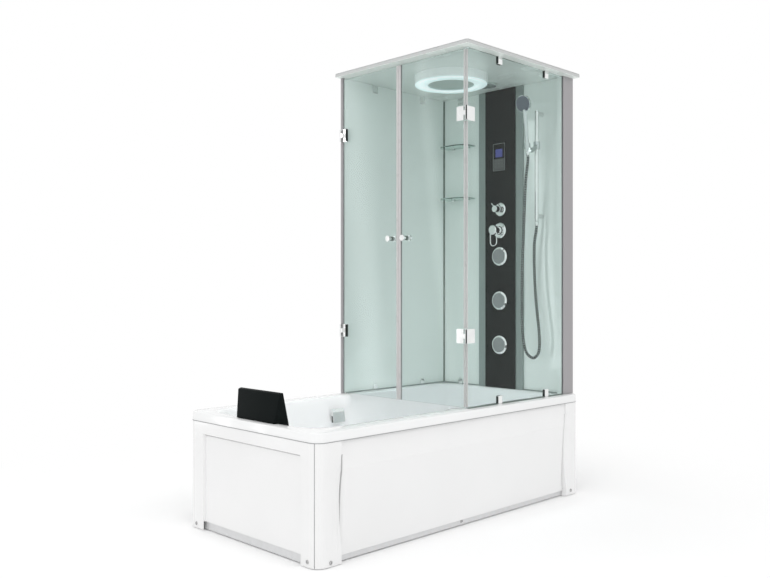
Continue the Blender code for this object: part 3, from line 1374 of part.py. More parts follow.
def build_shelves():
    back = END_WALL_X - FIT_GAP
    low = SHELF_Y - SHELF_WIDTH / 2
    high = SHELF_Y + SHELF_WIDTH / 2
    front = back - SHELF_DEPTH + SHELF_CORNER
    steps = 5
    outline = [(back, low), (back, high)]
    for y, quarter in ((high - SHELF_CORNER, 1), (low + SHELF_CORNER, 2)):
        for step in range(steps + 1):
            angle = math.pi / 2 * (quarter + step / steps)
            outline.append((front + SHELF_CORNER * math.cos(angle), y + SHELF_CORNER * math.sin(angle)))
    for name, share in SHELF_RISE_SHARES.items():
        z = RIM_HEIGHT + share * CABIN_HEIGHT
        add(name, prism(outline, "z", z - GLASS / 2, z + GLASS / 2), clear_glass())


RAIL_X = END_WALL_X - RAIL_STANDOFF
PIVOT = Vector((RAIL_X - PIVOT_REACH, RAIL_Y + PIVOT_SIDE, PIVOT_Z))
HANDSET_AXIS = Vector((-math.sin(math.radians(HANDSET_LEAN)), 0, math.cos(math.radians(HANDSET_LEAN))))
HEAD_AXIS = Vector((-math.cos(math.radians(HEAD_PITCH)), 0, -math.sin(math.radians(HEAD_PITCH))))
ARM_LOW_Y = RAIL_Y - ARM_OFFSET - ARM_THICKNESS / 2
ARM_HIGH_Y = ARM_LOW_Y + ARM_THICKNESS
OUTLET_Z = RAIL_BOTTOM_Z - RAIL_OUTLET_LENGTH


def build_rail():
    up = (0, 0, 1)
    rod = cylinder(RAIL_DIAMETER / 2, (RAIL_X, RAIL_Y, RAIL_BOTTOM_Z), up, RAIL_TOP_Z - RAIL_BOTTOM_Z, 16)
    brackets = []
    for z in (RAIL_BOTTOM_Z + BRACKET_INSET, RAIL_TOP_Z - BRACKET_INSET):
        radius = BRACKET_DIAMETER / 2
        brackets.append(cylinder(radius, (RAIL_X, RAIL_Y, z), (1, 0, 0), RAIL_STANDOFF - FIT_GAP, 16))
    radius = RAIL_OUTLET_DIAMETER / 2
    outlet = cylinder(radius, (RAIL_X, RAIL_Y, OUTLET_Z), up, RAIL_OUTLET_LENGTH + OVERRUN, 12)
    add("riser_rail", joined(rod, *brackets, outlet), chrome(), (RAIL_X, RAIL_Y, OUTLET_Z), True)


def build_slider():
    low = SLIDER_Z - SLIDER_HEIGHT / 2
    bore = RAIL_DIAMETER / 2 + FIT_GAP
    rim = SLIDER_DIAMETER / 2
    profile = [(bore, 0), (rim, 0), (rim, SLIDER_HEIGHT), (bore, SLIDER_HEIGHT)]
    ring = turned(profile, (RAIL_X, RAIL_Y, low), (0, 0, 1), 20)
    half = ARM_HEIGHT / 2
    near = RAIL_X - (bore + rim) / 2 + FIT_GAP
    outline = [(PIVOT.x, PIVOT_Z - half), (near, low), (near, low + ARM_HEIGHT), (PIVOT.x, PIVOT_Z + half)]
    arm = prism(outline, "y", ARM_LOW_Y, ARM_HIGH_Y)
    disc = cylinder(half, (PIVOT.x, ARM_LOW_Y, PIVOT_Z), (0, 1, 0), ARM_THICKNESS, 16)
    pin = PIVOT_PIN_DIAMETER / 2 + FIT_GAP
    drill = cylinder(pin, (PIVOT.x, ARM_LOW_Y - OVERRUN, PIVOT_Z), (0, 1, 0), ARM_THICKNESS + 2 * OVERRUN, 12)
    add("slider", cut(joined(ring, arm, disc), drill), chrome(), (RAIL_X, RAIL_Y, SLIDER_Z), True)


def handle_radius(height):
    """The handle's taper, from its threaded end up."""
    share = min(1, max(0, height / HANDLE_LENGTH))
    return (HANDLE_END_DIAMETER + (HANDLE_DIAMETER - HANDLE_END_DIAMETER) * share) / 2


def build_handset():
    low = HOLDER_LIFT
    high = HOLDER_LIFT + HOLDER_HEIGHT
    rim = HOLDER_DIAMETER / 2
    profile = [(handle_radius(low) + FIT_GAP, low), (rim, low), (rim, high), (handle_radius(high) + FIT_GAP, high)]
    ring = turned(profile, PIVOT, HANDSET_AXIS, 20)
    side = PIVOT_PIN_DIAMETER
    ear_y = ARM_HIGH_Y + FIT_GAP
    ear_end = PIVOT.y - handle_radius(high) - KNUCKLE_CLEARANCE
    ear = box((PIVOT.x - side, ear_y, PIVOT_Z - side), (PIVOT.x + side / 2, ear_end, PIVOT_Z + low + side / 2))
    pin = cylinder(side / 2, (PIVOT.x, ARM_LOW_Y, PIVOT_Z), (0, 1, 0), ARM_THICKNESS + KNUCKLE_CLEARANCE, 12)
    add("handset_holder", joined(ring, ear, pin), chrome(), PIVOT, True)

    start = PIVOT + HANDSET_AXIS * FIT_GAP
    profile = [(0, 0), (handle_radius(0), 0), (handle_radius(HANDLE_LENGTH), HANDLE_LENGTH), (0, HANDLE_LENGTH)]
    handle = turned(profile, start, HANDSET_AXIS, 16)
    back = HEAD_BACK_DIAMETER / 2
    face = HEAD_DIAMETER / 2
    half = HEAD_HEIGHT / 2
    profile = [(0, -half), (back, -half), (face, 0), (face, half), (0, half)]
    head = turned(profile, PIVOT + HANDSET_AXIS * HEAD_LIFT, HEAD_AXIS, 24)
    add("handset", joined(handle, head), chrome(), PIVOT, True)


# Shower hose: it hangs in one loop from the handset's end to the outlet under the rail

HOSE_TOP = PIVOT
HOSE_OUTLET = Vector((RAIL_X, RAIL_Y, OUTLET_Z - FIT_GAP))
HOSE_ROUTE = [
    (END_WALL_X - reach, RAIL_Y + side, RIM_HEIGHT + share * CABIN_HEIGHT)
    for reach, side, share in zip(HOSE_REACHES, HOSE_SIDES, HOSE_RISE_SHARES)
]


def smooth_route(points, first_way, last_way, count):
    """Evenly spaced points on a smooth curve through the given ones, with its end directions."""
    knots = np.array(points, float)
    along = np.concatenate([[0], np.cumsum(np.linalg.norm(np.diff(knots, axis=0), axis=1))])
    slopes = np.empty_like(knots)
    slopes[1:-1] = (knots[2:] - knots[:-2]) / (along[2:] - along[:-2])[:, None]
    slopes[0] = first_way
    slopes[-1] = last_way
    fine = []
    for start in range(len(knots) - 1):
        span = along[start + 1] - along[start]
        for t in np.linspace(0, 1, 24, endpoint=False):
            weights = (1 + 2 * t) * (1 - t) ** 2, t * (1 - t) ** 2, t**2 * (3 - 2 * t), t**2 * (t - 1)
            fine.append(
                weights[0] * knots[start]
                + weights[1] * span * slopes[start]
                + weights[2] * knots[start + 1]
                + weights[3] * span * slopes[start + 1]
            )
    fine.append(knots[-1])
    fine = np.array(fine)
    run = np.concatenate([[0], np.cumsum(np.linalg.norm(np.diff(fine, axis=0), axis=1))])
    even = np.linspace(0, run[-1], count)
    return np.stack([np.interp(even, run, fine[:, axis]) for axis in range(3)], axis=1), run[-1]


def hose_line(count):
    """The hose's middle line, straight for one diameter at both ends, and its length."""
    start = np.array(HOSE_TOP - HANDSET_AXIS * FIT_GAP)
    first_way = -np.array(HANDSET_AXIS)
    end = np.array(HOSE_OUTLET)
    last_way = np.array((0, 0, 1))
    bend_start = start + first_way * HOSE_DIAMETER
    bend_end = end - last_way * HOSE_DIAMETER
    middle, length = smooth_route([bend_start, *HOSE_ROUTE, bend_end], first_way, last_way, count - 2)
    return np.array([start, *middle, end]), length + 2 * HOSE_DIAMETER


def least_gap(line):
    """The least gap of the hose to itself, between stretches that don't join."""
    apart = math.ceil(math.pi * HOSE_DIAMETER * len(line) / np.linalg.norm(np.diff(line, axis=0), axis=1).sum())
    least = min(
        np.linalg.norm(line[index + apart :] - point, axis=1).min()
        for index, point in enumerate(line[: len(line) - apart])
    )
    return least - HOSE_DIAMETER


def build_hose():
    line, length = hose_line(2 * HOSE_RIBS)
    print(f"hose: length {length:.4f} m, least gap to itself {1000 * least_gap(line):.1f} mm")
    ribbed = tube(line, HOSE_DIAMETER / 2, 2, RIB_RADIUS_SHARES)
    first = line[0] + (line[0] - line[1]) / np.linalg.norm(line[0] - line[1]) * OVERRUN
    last = line[-1] + (line[-1] - line[-2]) / np.linalg.norm(line[-1] - line[-2]) * OVERRUN
    bore = tube([first, *line[1:-1:BORE_STEP], last], HOSE_BORE / 2, 1)
    add("hose", cut(ribbed, bore), dark_hose(), HOSE_TOP, True)


def main():
    clear_scene()
    build_tub()
    build_front_apron()
    build_end_apron()
    build_frame()
    build_feet()
    build_drain()
    build_overflow()
    build_headrest()
    build_walls()
    build_profiles()
    build_roof()
    build_fixed_glass()
    build_doors()
    build_column()
    build_mixer()
    build_diverter()
    build_shelves()
    build_rail()
    build_slider()
    build_handset()
    build_hose()


main()
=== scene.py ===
# %% [markdown]
# # A bath tub with a glass shower cabin
#
# The real object is a long white acrylic tub on a hidden steel frame, with a glass cabin over its
# shower end. It was measured and built as solids first. This script loads those solids, leaves
# their shapes alone, and adds what they lack: finishes, the small parts that a plain solid can't
# show, a camera, a floor and light.

# %% Load the measured frame
import math

import bmesh
import bpy
import numpy as np
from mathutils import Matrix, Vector
from mathutils.bvhtree import BVHTree


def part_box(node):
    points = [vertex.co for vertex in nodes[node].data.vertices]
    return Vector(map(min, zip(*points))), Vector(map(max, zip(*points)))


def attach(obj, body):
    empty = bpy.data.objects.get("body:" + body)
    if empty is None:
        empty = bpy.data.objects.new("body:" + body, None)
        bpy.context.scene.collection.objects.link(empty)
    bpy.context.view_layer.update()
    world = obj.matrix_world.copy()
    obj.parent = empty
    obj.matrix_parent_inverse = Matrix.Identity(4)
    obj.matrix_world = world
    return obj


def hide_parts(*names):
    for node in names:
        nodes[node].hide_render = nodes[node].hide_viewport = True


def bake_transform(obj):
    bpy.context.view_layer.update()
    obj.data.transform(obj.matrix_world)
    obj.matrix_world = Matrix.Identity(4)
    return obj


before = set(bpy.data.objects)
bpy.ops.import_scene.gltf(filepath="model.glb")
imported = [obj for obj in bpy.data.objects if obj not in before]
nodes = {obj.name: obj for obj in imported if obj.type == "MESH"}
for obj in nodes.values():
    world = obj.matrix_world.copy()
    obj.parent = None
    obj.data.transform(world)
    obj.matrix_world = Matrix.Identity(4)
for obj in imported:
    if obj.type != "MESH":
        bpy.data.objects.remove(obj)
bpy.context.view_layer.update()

# %% [markdown]
# ## Camera
#
# The view looks at the corner between the tub's head end and its open front, from a little over
# one metre up. The camera stands level, so upright edges stay upright in the picture. It could be
# placed by eye, but its place and lens were worked out from the corners of the tub and the cabin,
# whose sizes are known, so that every part lands where it belongs.

# %% Set the camera
CAMERA_PLACE = (-2.9857, -2.9257, 1.0662)
CAMERA_TURN = (90.0, 0.0, -44.67)
PICTURE_WIDTH = 770
FOCAL_PIXELS = 853.6
SENSOR_WIDTH = 36.0
SHIFT_Y = 0.0010
NEAREST, FARTHEST = 0.05, 60

camera_data = bpy.data.cameras.new("corner_view")
camera_data.sensor_fit = "HORIZONTAL"
camera_data.sensor_width = SENSOR_WIDTH
camera_data.lens = FOCAL_PIXELS / PICTURE_WIDTH * SENSOR_WIDTH
camera_data.shift_y = SHIFT_Y
camera_data.clip_start = NEAREST
camera_data.clip_end = FARTHEST
camera = bpy.data.objects.new("corner_view", camera_data)
camera.location = CAMERA_PLACE
camera.rotation_euler = [math.radians(angle) for angle in CAMERA_TURN]
bpy.context.scene.collection.objects.link(camera)
bpy.context.scene.camera = camera
print("lens", round(camera_data.lens, 2), "mm")

# %% [markdown]
# ## Helpers for mesh pieces
#
# Small parts could be modelled by hand or with modifiers. Here each is plain mesh data, points and
# faces worked out from sizes, because then it lands exactly on the measured solids and comes out
# the same every time. One helper turns such a shape into an object with its material and the body
# of the frame that carries it.

# %% Make a piece from points and faces
WELD = 1e-6
BEVEL_ANGLE = math.radians(35)


def piece(name, shape, body, material, smooth=False):
    """A new mesh object that rides on a body of the frame, or on none when no body is given."""
    points, faces = shape
    mesh = bpy.data.meshes.new(name)
    mesh.from_pydata([tuple(p) for p in points], [], [tuple(f) for f in faces])
    bm = bmesh.new()
    bm.from_mesh(mesh)
    bmesh.ops.remove_doubles(bm, verts=bm.verts, dist=WELD)
    bmesh.ops.recalc_face_normals(bm, faces=bm.faces)
    bm.to_mesh(mesh)
    bm.free()
    if smooth:
        mesh.shade_smooth()
    thing = bpy.data.objects.new(name, mesh)
    bpy.context.scene.collection.objects.link(thing)
    mesh.materials.append(material)
    if body:
        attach(thing, body)
    return thing


def soften(thing, width, segments=2):
    """Rounds the edges where a piece's faces meet sharply."""
    bm = bmesh.new()
    bm.from_mesh(thing.data)
    sharp = [e for e in bm.edges if len(e.link_faces) == 2 and e.calc_face_angle(0) > BEVEL_ANGLE]
    bmesh.ops.bevel(bm, geom=sharp, offset=width, segments=segments, profile=0.5, affect="EDGES",
                    clamp_overlap=True)
    bm.to_mesh(thing.data)
    bm.free()


print("helpers ready: piece, soften")

# %% [markdown]
# Round parts come off a lathe or out of a tube bender, and are built here in the same two ways. A
# profile is turned about a line, or a circle is swept along one, ring by ring. Blender's Screw and
# Curve tools could do it as well, but these few lines also let every ring have its own radius.

# %% Shapes that are turned, as on a lathe, or swept along a line
ON_AXIS = 1e-9
NEARLY_UPRIGHT = 0.9


def side_ways(direction):
    """Two directions square to the given one and to each other."""
    way = Vector(direction).normalized()
    helper = Vector((0, 0, 1)) if abs(way.z) < NEARLY_UPRIGHT else Vector((1, 0, 0))
    first = way.cross(helper).normalized()
    return first, way.cross(first)


def around(middle, first, second, radius, steps):
    """Points on a circle."""
    turns = [2 * math.pi * step / steps for step in range(steps)]
    return [middle + (first * math.cos(turn) + second * math.sin(turn)) * radius for turn in turns]


def turned(profile, base, direction, steps=32):
    """A profile of (radius, height) turned about a line. A radius of zero closes an end."""
    way = Vector(direction).normalized()
    first, second = side_ways(way)
    points, rings = [], []
    for radius, height in profile:
        middle = Vector(base) + way * height
        ring = [middle] if radius < ON_AXIS else around(middle, first, second, radius, steps)
        rings.append(list(range(len(points), len(points) + len(ring))))
        points += ring
    faces = []
    for low, high in zip(rings, rings[1:]):
        for step in range(steps):
            after = (step + 1) % steps
            if len(low) > 1 and len(high) > 1:
                faces.append((low[step], low[after], high[after], high[step]))
            elif len(high) > 1:
                faces.append((low[0], high[after], high[step]))
            elif len(low) > 1:
                faces.append((low[step], low[after], high[0]))
    return points, faces


def swept(line, radii, sides):
    """A tube along a line of points, with its own radius at each one and closed ends."""
    line = [Vector(point) for point in line]
    points, faces = [], []
    first = side_ways(line[1] - line[0])[0]
    for index, middle in enumerate(line):
        ahead = line[min(index + 1, len(line) - 1)]
        behind = line[max(index - 1, 0)]
        way = (ahead - behind).normalized()
        first = (first - way * first.dot(way)).normalized()
        points += around(middle, first, way.cross(first), radii[index], sides)
    for low in range(0, (len(line) - 1) * sides, sides):
        for side in range(sides):
            after = (side + 1) % sides
            faces.append((low + side, low + after, low + sides + after, low + sides + side))
    faces.append(tuple(reversed(range(sides))))
    faces.append(tuple(range((len(line) - 1) * sides, len(line) * sides)))
    return points, faces


def rod(line, radius, sides=8):
    """A tube of one radius."""
    return swept(line, [radius] * len(line), sides)


print("helpers ready: turned, swept, rod")

# %% [markdown]
# Flat parts such as strips, plates and clips are cut or extruded from an outline. So they are all
# one shape here, a prism: an outline, a copy of it further on, and walls between the two.

# %% Shapes that are pulled from an outline
def prism(low_outline, high_outline):
    """Two equal outlines, joined by walls and closed at both ends."""
    count = len(low_outline)
    faces = [tuple(reversed(range(count))), tuple(range(count, 2 * count))]
    faces += [(i, (i + 1) % count, count + (i + 1) % count, count + i) for i in range(count)]
    return [*low_outline, *high_outline], faces


def upright(outline, low, high):
    """An outline on the floor plan, pulled up from one height to another."""
    return prism([(x, y, low) for x, y in outline], [(x, y, high) for x, y in outline])


def slab(low, high):
    """A block between two corners."""
    (x0, y0, z0), (x1, y1, z1) = low, high
    return upright(((x0, y0), (x1, y0), (x1, y1), (x0, y1)), z0, z1)


def plate(outline, depth, center, across, up, out):
    """An outline of (across, up) places on a face, pulled off that face."""
    center, across, up, out = Vector(center), Vector(across), Vector(up), Vector(out)
    return prism(*[[center + across * a + up * b + out * c for a, b in outline] for c in (0, depth)])


def gathered(*shapes):
    """Several shapes as one."""
    points, faces = [], []
    for shape_points, shape_faces in shapes:
        start = len(points)
        points.extend(shape_points)
        faces.extend(tuple(start + index for index in face) for face in shape_faces)
    return points, faces


print("helpers ready: prism, upright, slab, plate, gathered")

# %% [markdown]
# ## Effects that several finishes share
#
# Cast acrylic, chrome and lacquer are all a little uneven: a faint waviness, a little smear. One
# node group makes such a soft pattern, with its size and its strength as inputs, so that each
# finish can use it in its own way. A second group stretches the pattern along one direction, which
# is what drawn or brushed metal looks like. The same nodes could be copied into every material,
# but a group is built once and stays the same everywhere.

# %% Nodes and sockets of a pattern
PATTERN_INPUTS = (("Low", "Float"), ("High", "Float"), ("Color", "Color"), ("Darker", "Color"))
PATTERN_OUTPUTS = (("Value", "Float"), ("Height", "Float"), ("Color", "Color"))


def add_node(tree, kind, inputs=None, operation=None):
    """Adds a shader node and sets its inputs."""
    made = tree.nodes.new("ShaderNode" + kind)
    if operation:
        made.operation = operation
    for name, value in (inputs or {}).items():
        made.inputs[name].default_value = value
    return made


def pattern_group(name, size_kind):
    """A group with sockets for a pattern's size, its limits and its two colours."""
    group = bpy.data.node_groups.new(name, "ShaderNodeTree")
    for socket, kind in (("Size", size_kind), *PATTERN_INPUTS):
        group.interface.new_socket(socket, in_out="INPUT", socket_type="NodeSocket" + kind)
    for socket, kind in PATTERN_OUTPUTS:
        group.interface.new_socket(socket, in_out="OUTPUT", socket_type="NodeSocket" + kind)
    return group, group.nodes.new("NodeGroupInput")


def give_out(group, way_in, noise, low, high):
    """Spreads a noise between the limits and the colours, and passes it out of the group."""
    spread = add_node(group, "MapRange", {"From Min": low, "From Max": high})
    tint = add_node(group, "Mix")
    tint.data_type = "RGBA"
    way_out = group.nodes.new("NodeGroupOutput")
    link = group.links.new
    link(noise.outputs["Fac"], spread.inputs["Value"])
    link(way_in.outputs["Low"], spread.inputs["To Min"])
    link(way_in.outputs["High"], spread.inputs["To Max"])
    link(noise.outputs["Fac"], tint.inputs["Factor"])
    link(way_in.outputs["Darker"], tint.inputs["A"])
    link(way_in.outputs["Color"], tint.inputs["B"])
    link(spread.outputs["Result"], way_out.inputs["Value"])
    link(noise.outputs["Fac"], way_out.inputs["Height"])
    link(tint.outputs["Result"], way_out.inputs["Color"])


print("sockets of a pattern:", 1 + len(PATTERN_INPUTS), "in,", len(PATTERN_OUTPUTS), "out")


# %% The two patterns
def uneven_group():
    """A soft pattern, as in cast plastic, plating or lacquer."""
    group, way_in = pattern_group("soft_unevenness", "Float")
    place = add_node(group, "TexCoord")
    noise = add_node(group, "TexNoise", {"Detail": 3.0, "Roughness": 0.55})
    group.links.new(place.outputs["Object"], noise.inputs["Vector"])
    group.links.new(way_in.outputs["Size"], noise.inputs["Scale"])
    give_out(group, way_in, noise, low=0.3, high=0.7)
    return group


def grain_group():
    """Fine lines along one direction, as drawing or brushing leaves in metal."""
    group, way_in = pattern_group("drawn_grain", "Vector")
    place = add_node(group, "TexCoord")
    stretch = add_node(group, "VectorMath", operation="MULTIPLY")
    noise = add_node(group, "TexNoise", {"Scale": 1.0, "Detail": 2.0})
    group.links.new(place.outputs["Object"], stretch.inputs[0])
    group.links.new(way_in.outputs["Size"], stretch.inputs[1])
    group.links.new(stretch.outputs["Vector"], noise.inputs["Vector"])
    give_out(group, way_in, noise, low=0.0, high=1.0)
    return group


UNEVEN = uneven_group()
GRAIN = grain_group()
print("shared groups:", UNEVEN.name, GRAIN.name)

# %% [markdown]
# A finish is one material: a main shader whose colour and roughness come from a shared group, and
# whose height gives a little relief where that shows. Everything else, such as the clear coat or
# the metal, stays a plain number in the shader, so that it can be read and changed at a glance.

# %% Make a finish from a shared group
def new_material(name):
    """A new material, its nodes and its main shader."""
    material = bpy.data.materials.new(name)
    material.use_nodes = True
    return material, material.node_tree, material.node_tree.nodes["Principled BSDF"]


def finish(name, color, darker, rough, group=UNEVEN, scale=6.0, bump=0.0, bump_distance=0.001, **plain):
    """A material whose colour, roughness and bump come from one of the shared groups."""
    material, tree, shader = new_material(name)
    pattern = add_node(tree, "Group")
    pattern.node_tree = group
    settings = {"Size": scale, "Low": rough[0], "High": rough[1], "Color": (*color, 1), "Darker": (*darker, 1)}
    for socket, value in settings.items():
        pattern.inputs[socket].default_value = value
    tree.links.new(pattern.outputs["Color"], shader.inputs["Base Color"])
    tree.links.new(pattern.outputs["Value"], shader.inputs["Roughness"])
    if bump:
        relief = add_node(tree, "Bump", {"Strength": bump, "Distance": bump_distance})
        tree.links.new(pattern.outputs["Height"], relief.inputs["Height"])
        tree.links.new(relief.outputs["Normal"], shader.inputs["Normal"])
    for socket, value in plain.items():
        shader.inputs[socket.replace("_", " ")].default_value = value
    return material


def wear(node, material):
    """Gives a solid of the frame its finish."""
    mesh = nodes[node].data
    mesh.materials.clear()
    mesh.materials.append(material)


print("helpers ready: finish, wear")

# %% [markdown]
# ## Finishes
#
# The tub and its aprons are gloss acrylic: a white plastic with an even shine and a very faint
# waviness. Chrome is bare metal with a nearly perfect mirror. The wall panels are glass with a pale
# green-grey lacquer behind it, which could be built as two layers, but a coloured body under a
# clear coat looks the same and renders faster. Profiles are satin aluminium, drawn along their
# length, and the headrest is soft black moulded foam.

# %% Acrylic, chrome, aluminium and plastics
GLOSS = dict(scale=2.5, bump=0.02, Coat_Weight=0.2, Coat_Roughness=0.04, Specular_IOR_Level=0.3)
ACRYLIC = finish("gloss_acrylic", (0.855, 0.86, 0.86), (0.835, 0.84, 0.84), (0.10, 0.16), **GLOSS)
# The inside of the basin: a lighter copy of the same acrylic, painted light for a hollow that gets little
# light.
INNER_ACRYLIC_PAINTED_LIGHT = finish("inner_acrylic_painted_light", (0.965, 0.975, 0.98), (0.95, 0.96, 0.965), (0.10, 0.16), **GLOSS)
APRON_ACRYLIC = finish("apron_acrylic", (0.885, 0.885, 0.885), (0.79, 0.79, 0.79), (0.14, 0.22), scale=1.2,
                       bump=0.03, Coat_Weight=0.2, Coat_Roughness=0.06, Specular_IOR_Level=0.35)
CHROME = finish("chrome_plating", (0.86, 0.87, 0.865), (0.80, 0.81, 0.805), (0.05, 0.12), scale=30.0,
                Metallic=1.0)
SHOWER_CHROME = finish("shower_chrome", (0.70, 0.74, 0.735), (0.42, 0.46, 0.455), (0.06, 0.14), group=GRAIN,
                       scale=(90, 90, 9), Metallic=1.0)
DRAWN = dict(group=GRAIN, scale=(500, 500, 4), bump=0.05, bump_distance=0.0005)
PROFILE_GREY = finish("drawn_aluminium", (0.37, 0.36, 0.37), (0.32, 0.31, 0.32), (0.35, 0.5), Metallic=0.2,
                      **DRAWN)
COLUMN_GREY = finish("column_aluminium", (0.30, 0.355, 0.34), (0.26, 0.31, 0.295), (0.3, 0.45), Metallic=0.15,
                     **DRAWN)
FRAME_STEEL = finish("zinc_coated_steel", (0.75, 0.755, 0.76), (0.64, 0.645, 0.65), (0.30, 0.50), scale=45.0,
                     bump=0.05, Metallic=0.3)
WALL = finish("lacquered_glass", (0.885, 0.95, 0.92), (0.86, 0.925, 0.895), (0.03, 0.06), scale=1.5,
              Coat_Weight=0.3, Coat_Roughness=0.02, Specular_IOR_Level=0.4)
ROOF = finish("roof_acrylic", (0.90, 0.96, 0.925), (0.87, 0.93, 0.895), (0.2, 0.3), scale=3.0,
              Specular_IOR_Level=0.3)
LAMP_RING = finish("lamp_ring", (0.86, 0.92, 0.92), (0.82, 0.88, 0.88), (0.2, 0.3), scale=4.0,
                   Emission_Color=(0.80, 0.95, 0.97, 1), Emission_Strength=0.46)
RING_WHITE = finish("ring_acrylic", (0.94, 0.985, 0.975), (0.91, 0.955, 0.945), (0.2, 0.3), scale=4.0)
# Darker copies of the roof's colour for its sides and top: painted shade.
ROOF_SIDE_SHADE = finish("roof_side_painted_shade", (0.53, 0.545, 0.54), (0.50, 0.515, 0.51), (0.3, 0.4), scale=4.0)
ROOF_CAP_SHADE = finish("roof_cap_painted_shade", (0.74, 0.755, 0.75), (0.70, 0.715, 0.71), (0.3, 0.4), scale=2.0)
ROSE = finish("rose_plastic", (0.56, 0.645, 0.61), (0.52, 0.60, 0.565), (0.3, 0.4), scale=12.0)
DARK_GLASS = finish("dark_glass", (0.014, 0.018, 0.016), (0.011, 0.014, 0.013), (0.10, 0.16), scale=4.0,
                    Specular_IOR_Level=0.08)
WASTE = finish("waste_plastic", (0.16, 0.165, 0.17), (0.13, 0.135, 0.14), (0.45, 0.6), scale=40.0, bump=0.1)
FOAM = finish("moulded_foam", (0.0065, 0.009, 0.009), (0.004, 0.006, 0.006), (0.5, 0.65), scale=420.0,
              bump=0.2, bump_distance=0.0005, Specular_IOR_Level=0.06)
SEAL = finish("door_seal", (0.57, 0.56, 0.56), (0.50, 0.49, 0.49), (0.25, 0.4), scale=25.0)
print("finishes so far:", len(bpy.data.materials))

# %% [markdown]
# ## Clear glass
#
# The door and fixed panes are 6 mm safety glass with the green tint that iron leaves in it. Glass
# in Cycles blocks lamps unless light is traced through it at great cost. So a shadow ray passes
# the pane with only its tint, while every other ray meets glass with its reflections. The index is
# set below real glass's 1.5, because the real panes, seen from here, hardly mirror the room.

# %% Clear glass that lets light through
GLASS_IOR = 1.17


def glass(name, tint, shade):
    """Glass of one tint, with its own tint for the shadow that it throws."""
    material, tree, shader = new_material(name)
    shader.inputs["Base Color"].default_value = (*tint, 1)
    shader.inputs["Roughness"].default_value = 0.0
    shader.inputs["IOR"].default_value = GLASS_IOR
    shader.inputs["Transmission Weight"].default_value = 1.0
    clear = add_node(tree, "BsdfTransparent", {"Color": (*shade, 1)})
    path = add_node(tree, "LightPath")
    choose = add_node(tree, "MixShader")
    tree.links.new(path.outputs["Is Shadow Ray"], choose.inputs["Fac"])
    tree.links.new(shader.outputs["BSDF"], choose.inputs[1])
    tree.links.new(clear.outputs["BSDF"], choose.inputs[2])
    tree.links.new(choose.outputs["Shader"], tree.nodes["Material Output"].inputs["Surface"])
    return material


CLEAR_GLASS = glass("clear_glass", (0.905, 0.955, 0.95), (0.98, 0.995, 0.99))
SHELF_GLASS = glass("shelf_glass", (0.76, 0.88, 0.84), (0.90, 0.96, 0.94))
print("glass:", CLEAR_GLASS.name, SHELF_GLASS.name)

# %% [markdown]
# ## Shower hose
#
# A metal shower hose is a wound strip, so its outside is a row of close round ribs with shade in the
# narrow grooves between them, painted here in near black. It hangs from the handset's threaded end,
# makes one loop under its own weight, and comes up again into the outlet at the foot of the riser
# rail. A curve object with a round section could draw it. A mesh made ring by ring was chosen,
# because it can carry the ribs, and each ring can have its own share of the handset's motion.

# %% The hose's route
FIT_GAP = 0.0003
PIVOT = Vector((0.720, -0.247, 1.800))
HANDSET_LEAN = math.radians(7.4)
HANDSET_AXIS = Vector((-math.sin(HANDSET_LEAN), 0, math.cos(HANDSET_LEAN)))
HOSE_OUTLET = Vector((0.776, -0.265, 1.430 - FIT_GAP))
HOSE_DIAMETER = 0.013
CURVE_STEPS = 24
HOSE_ROUTE = (
    (0.7300, -0.2280, 1.6490),
    (0.7420, -0.2026, 1.3320),
    (0.7500, -0.1870, 1.0300),
    (0.7550, -0.1903, 0.8260),
    (0.7580, -0.2122, 0.7310),
    (0.7610, -0.2551, 0.7040),
    (0.7640, -0.2860, 0.7360),
    (0.7660, -0.2885, 0.8300),
    (0.7680, -0.2711, 0.9630),
    (0.7690, -0.2584, 1.0980),
    (0.7720, -0.2523, 1.3000),
)
print("the hose's route has", len(HOSE_ROUTE), "free points")


# %% A smooth curve through the route's points
def run_along(points):
    """The length of a line up to each of its points."""
    return np.concatenate([[0], np.cumsum(np.linalg.norm(np.diff(points, axis=0), axis=1))])


def smooth_route(points, first_way, last_way, count):
    """Evenly spaced points on a smooth curve through the given ones, and its length."""
    knots = np.array(points, float)
    along = run_along(knots)
    slopes = np.empty_like(knots)
    slopes[1:-1] = (knots[2:] - knots[:-2]) / (along[2:] - along[:-2])[:, None]
    slopes[0] = first_way
    slopes[-1] = last_way
    fine = []
    for start in range(len(knots) - 1):
        span = along[start + 1] - along[start]
        for t in np.linspace(0, 1, CURVE_STEPS, endpoint=False):
            fine.append(
                (1 + 2 * t) * (1 - t) ** 2 * knots[start]
                + t * (1 - t) ** 2 * span * slopes[start]
                + t**2 * (3 - 2 * t) * knots[start + 1]
                + t**2 * (t - 1) * span * slopes[start + 1]
            )
    fine = np.array([*fine, knots[-1]])
    run = run_along(fine)
    even = np.linspace(0, run[-1], count)
    return np.stack([np.interp(even, run, fine[:, axis]) for axis in range(3)], axis=1), run[-1]


def hose_line(count):
    """The hose from the handset to the outlet, leaving and arriving straight."""
    start = np.array(PIVOT - HANDSET_AXIS * FIT_GAP)
    first_way = -np.array(HANDSET_AXIS)
    end = np.array(HOSE_OUTLET)
    last_way = np.array((0, 0, 1))
    bend_start = start + first_way * HOSE_DIAMETER
    bend_end = end - last_way * HOSE_DIAMETER
    middle, length = smooth_route([bend_start, *HOSE_ROUTE, bend_end], first_way, last_way, count)
    return np.array([start, *middle, end]), length + 2 * HOSE_DIAMETER


hose_length = hose_line(2)[1]
print("the hose is about", round(float(hose_length), 3), "m long")

# %% [markdown]
# The ribs come from a radius that goes up and down along the hose, in a few steps for each rib.
# The crown of each rib is bare metal, and its flanks are painted near black: painted shade for the
# grooves, which is how a wound strip looks from a distance. Painted shade in a texture would do that
# too, but would slip when the hose moves.

# %% The ribbed hose
RIB_PITCH = 0.0130
RIB_STEPS = 6
BRIGHT_STEPS = (2, 3)
RIB_RADIUS = 0.0080
GROOVE_SHARE = 0.75
HOSE_SIDES = 14


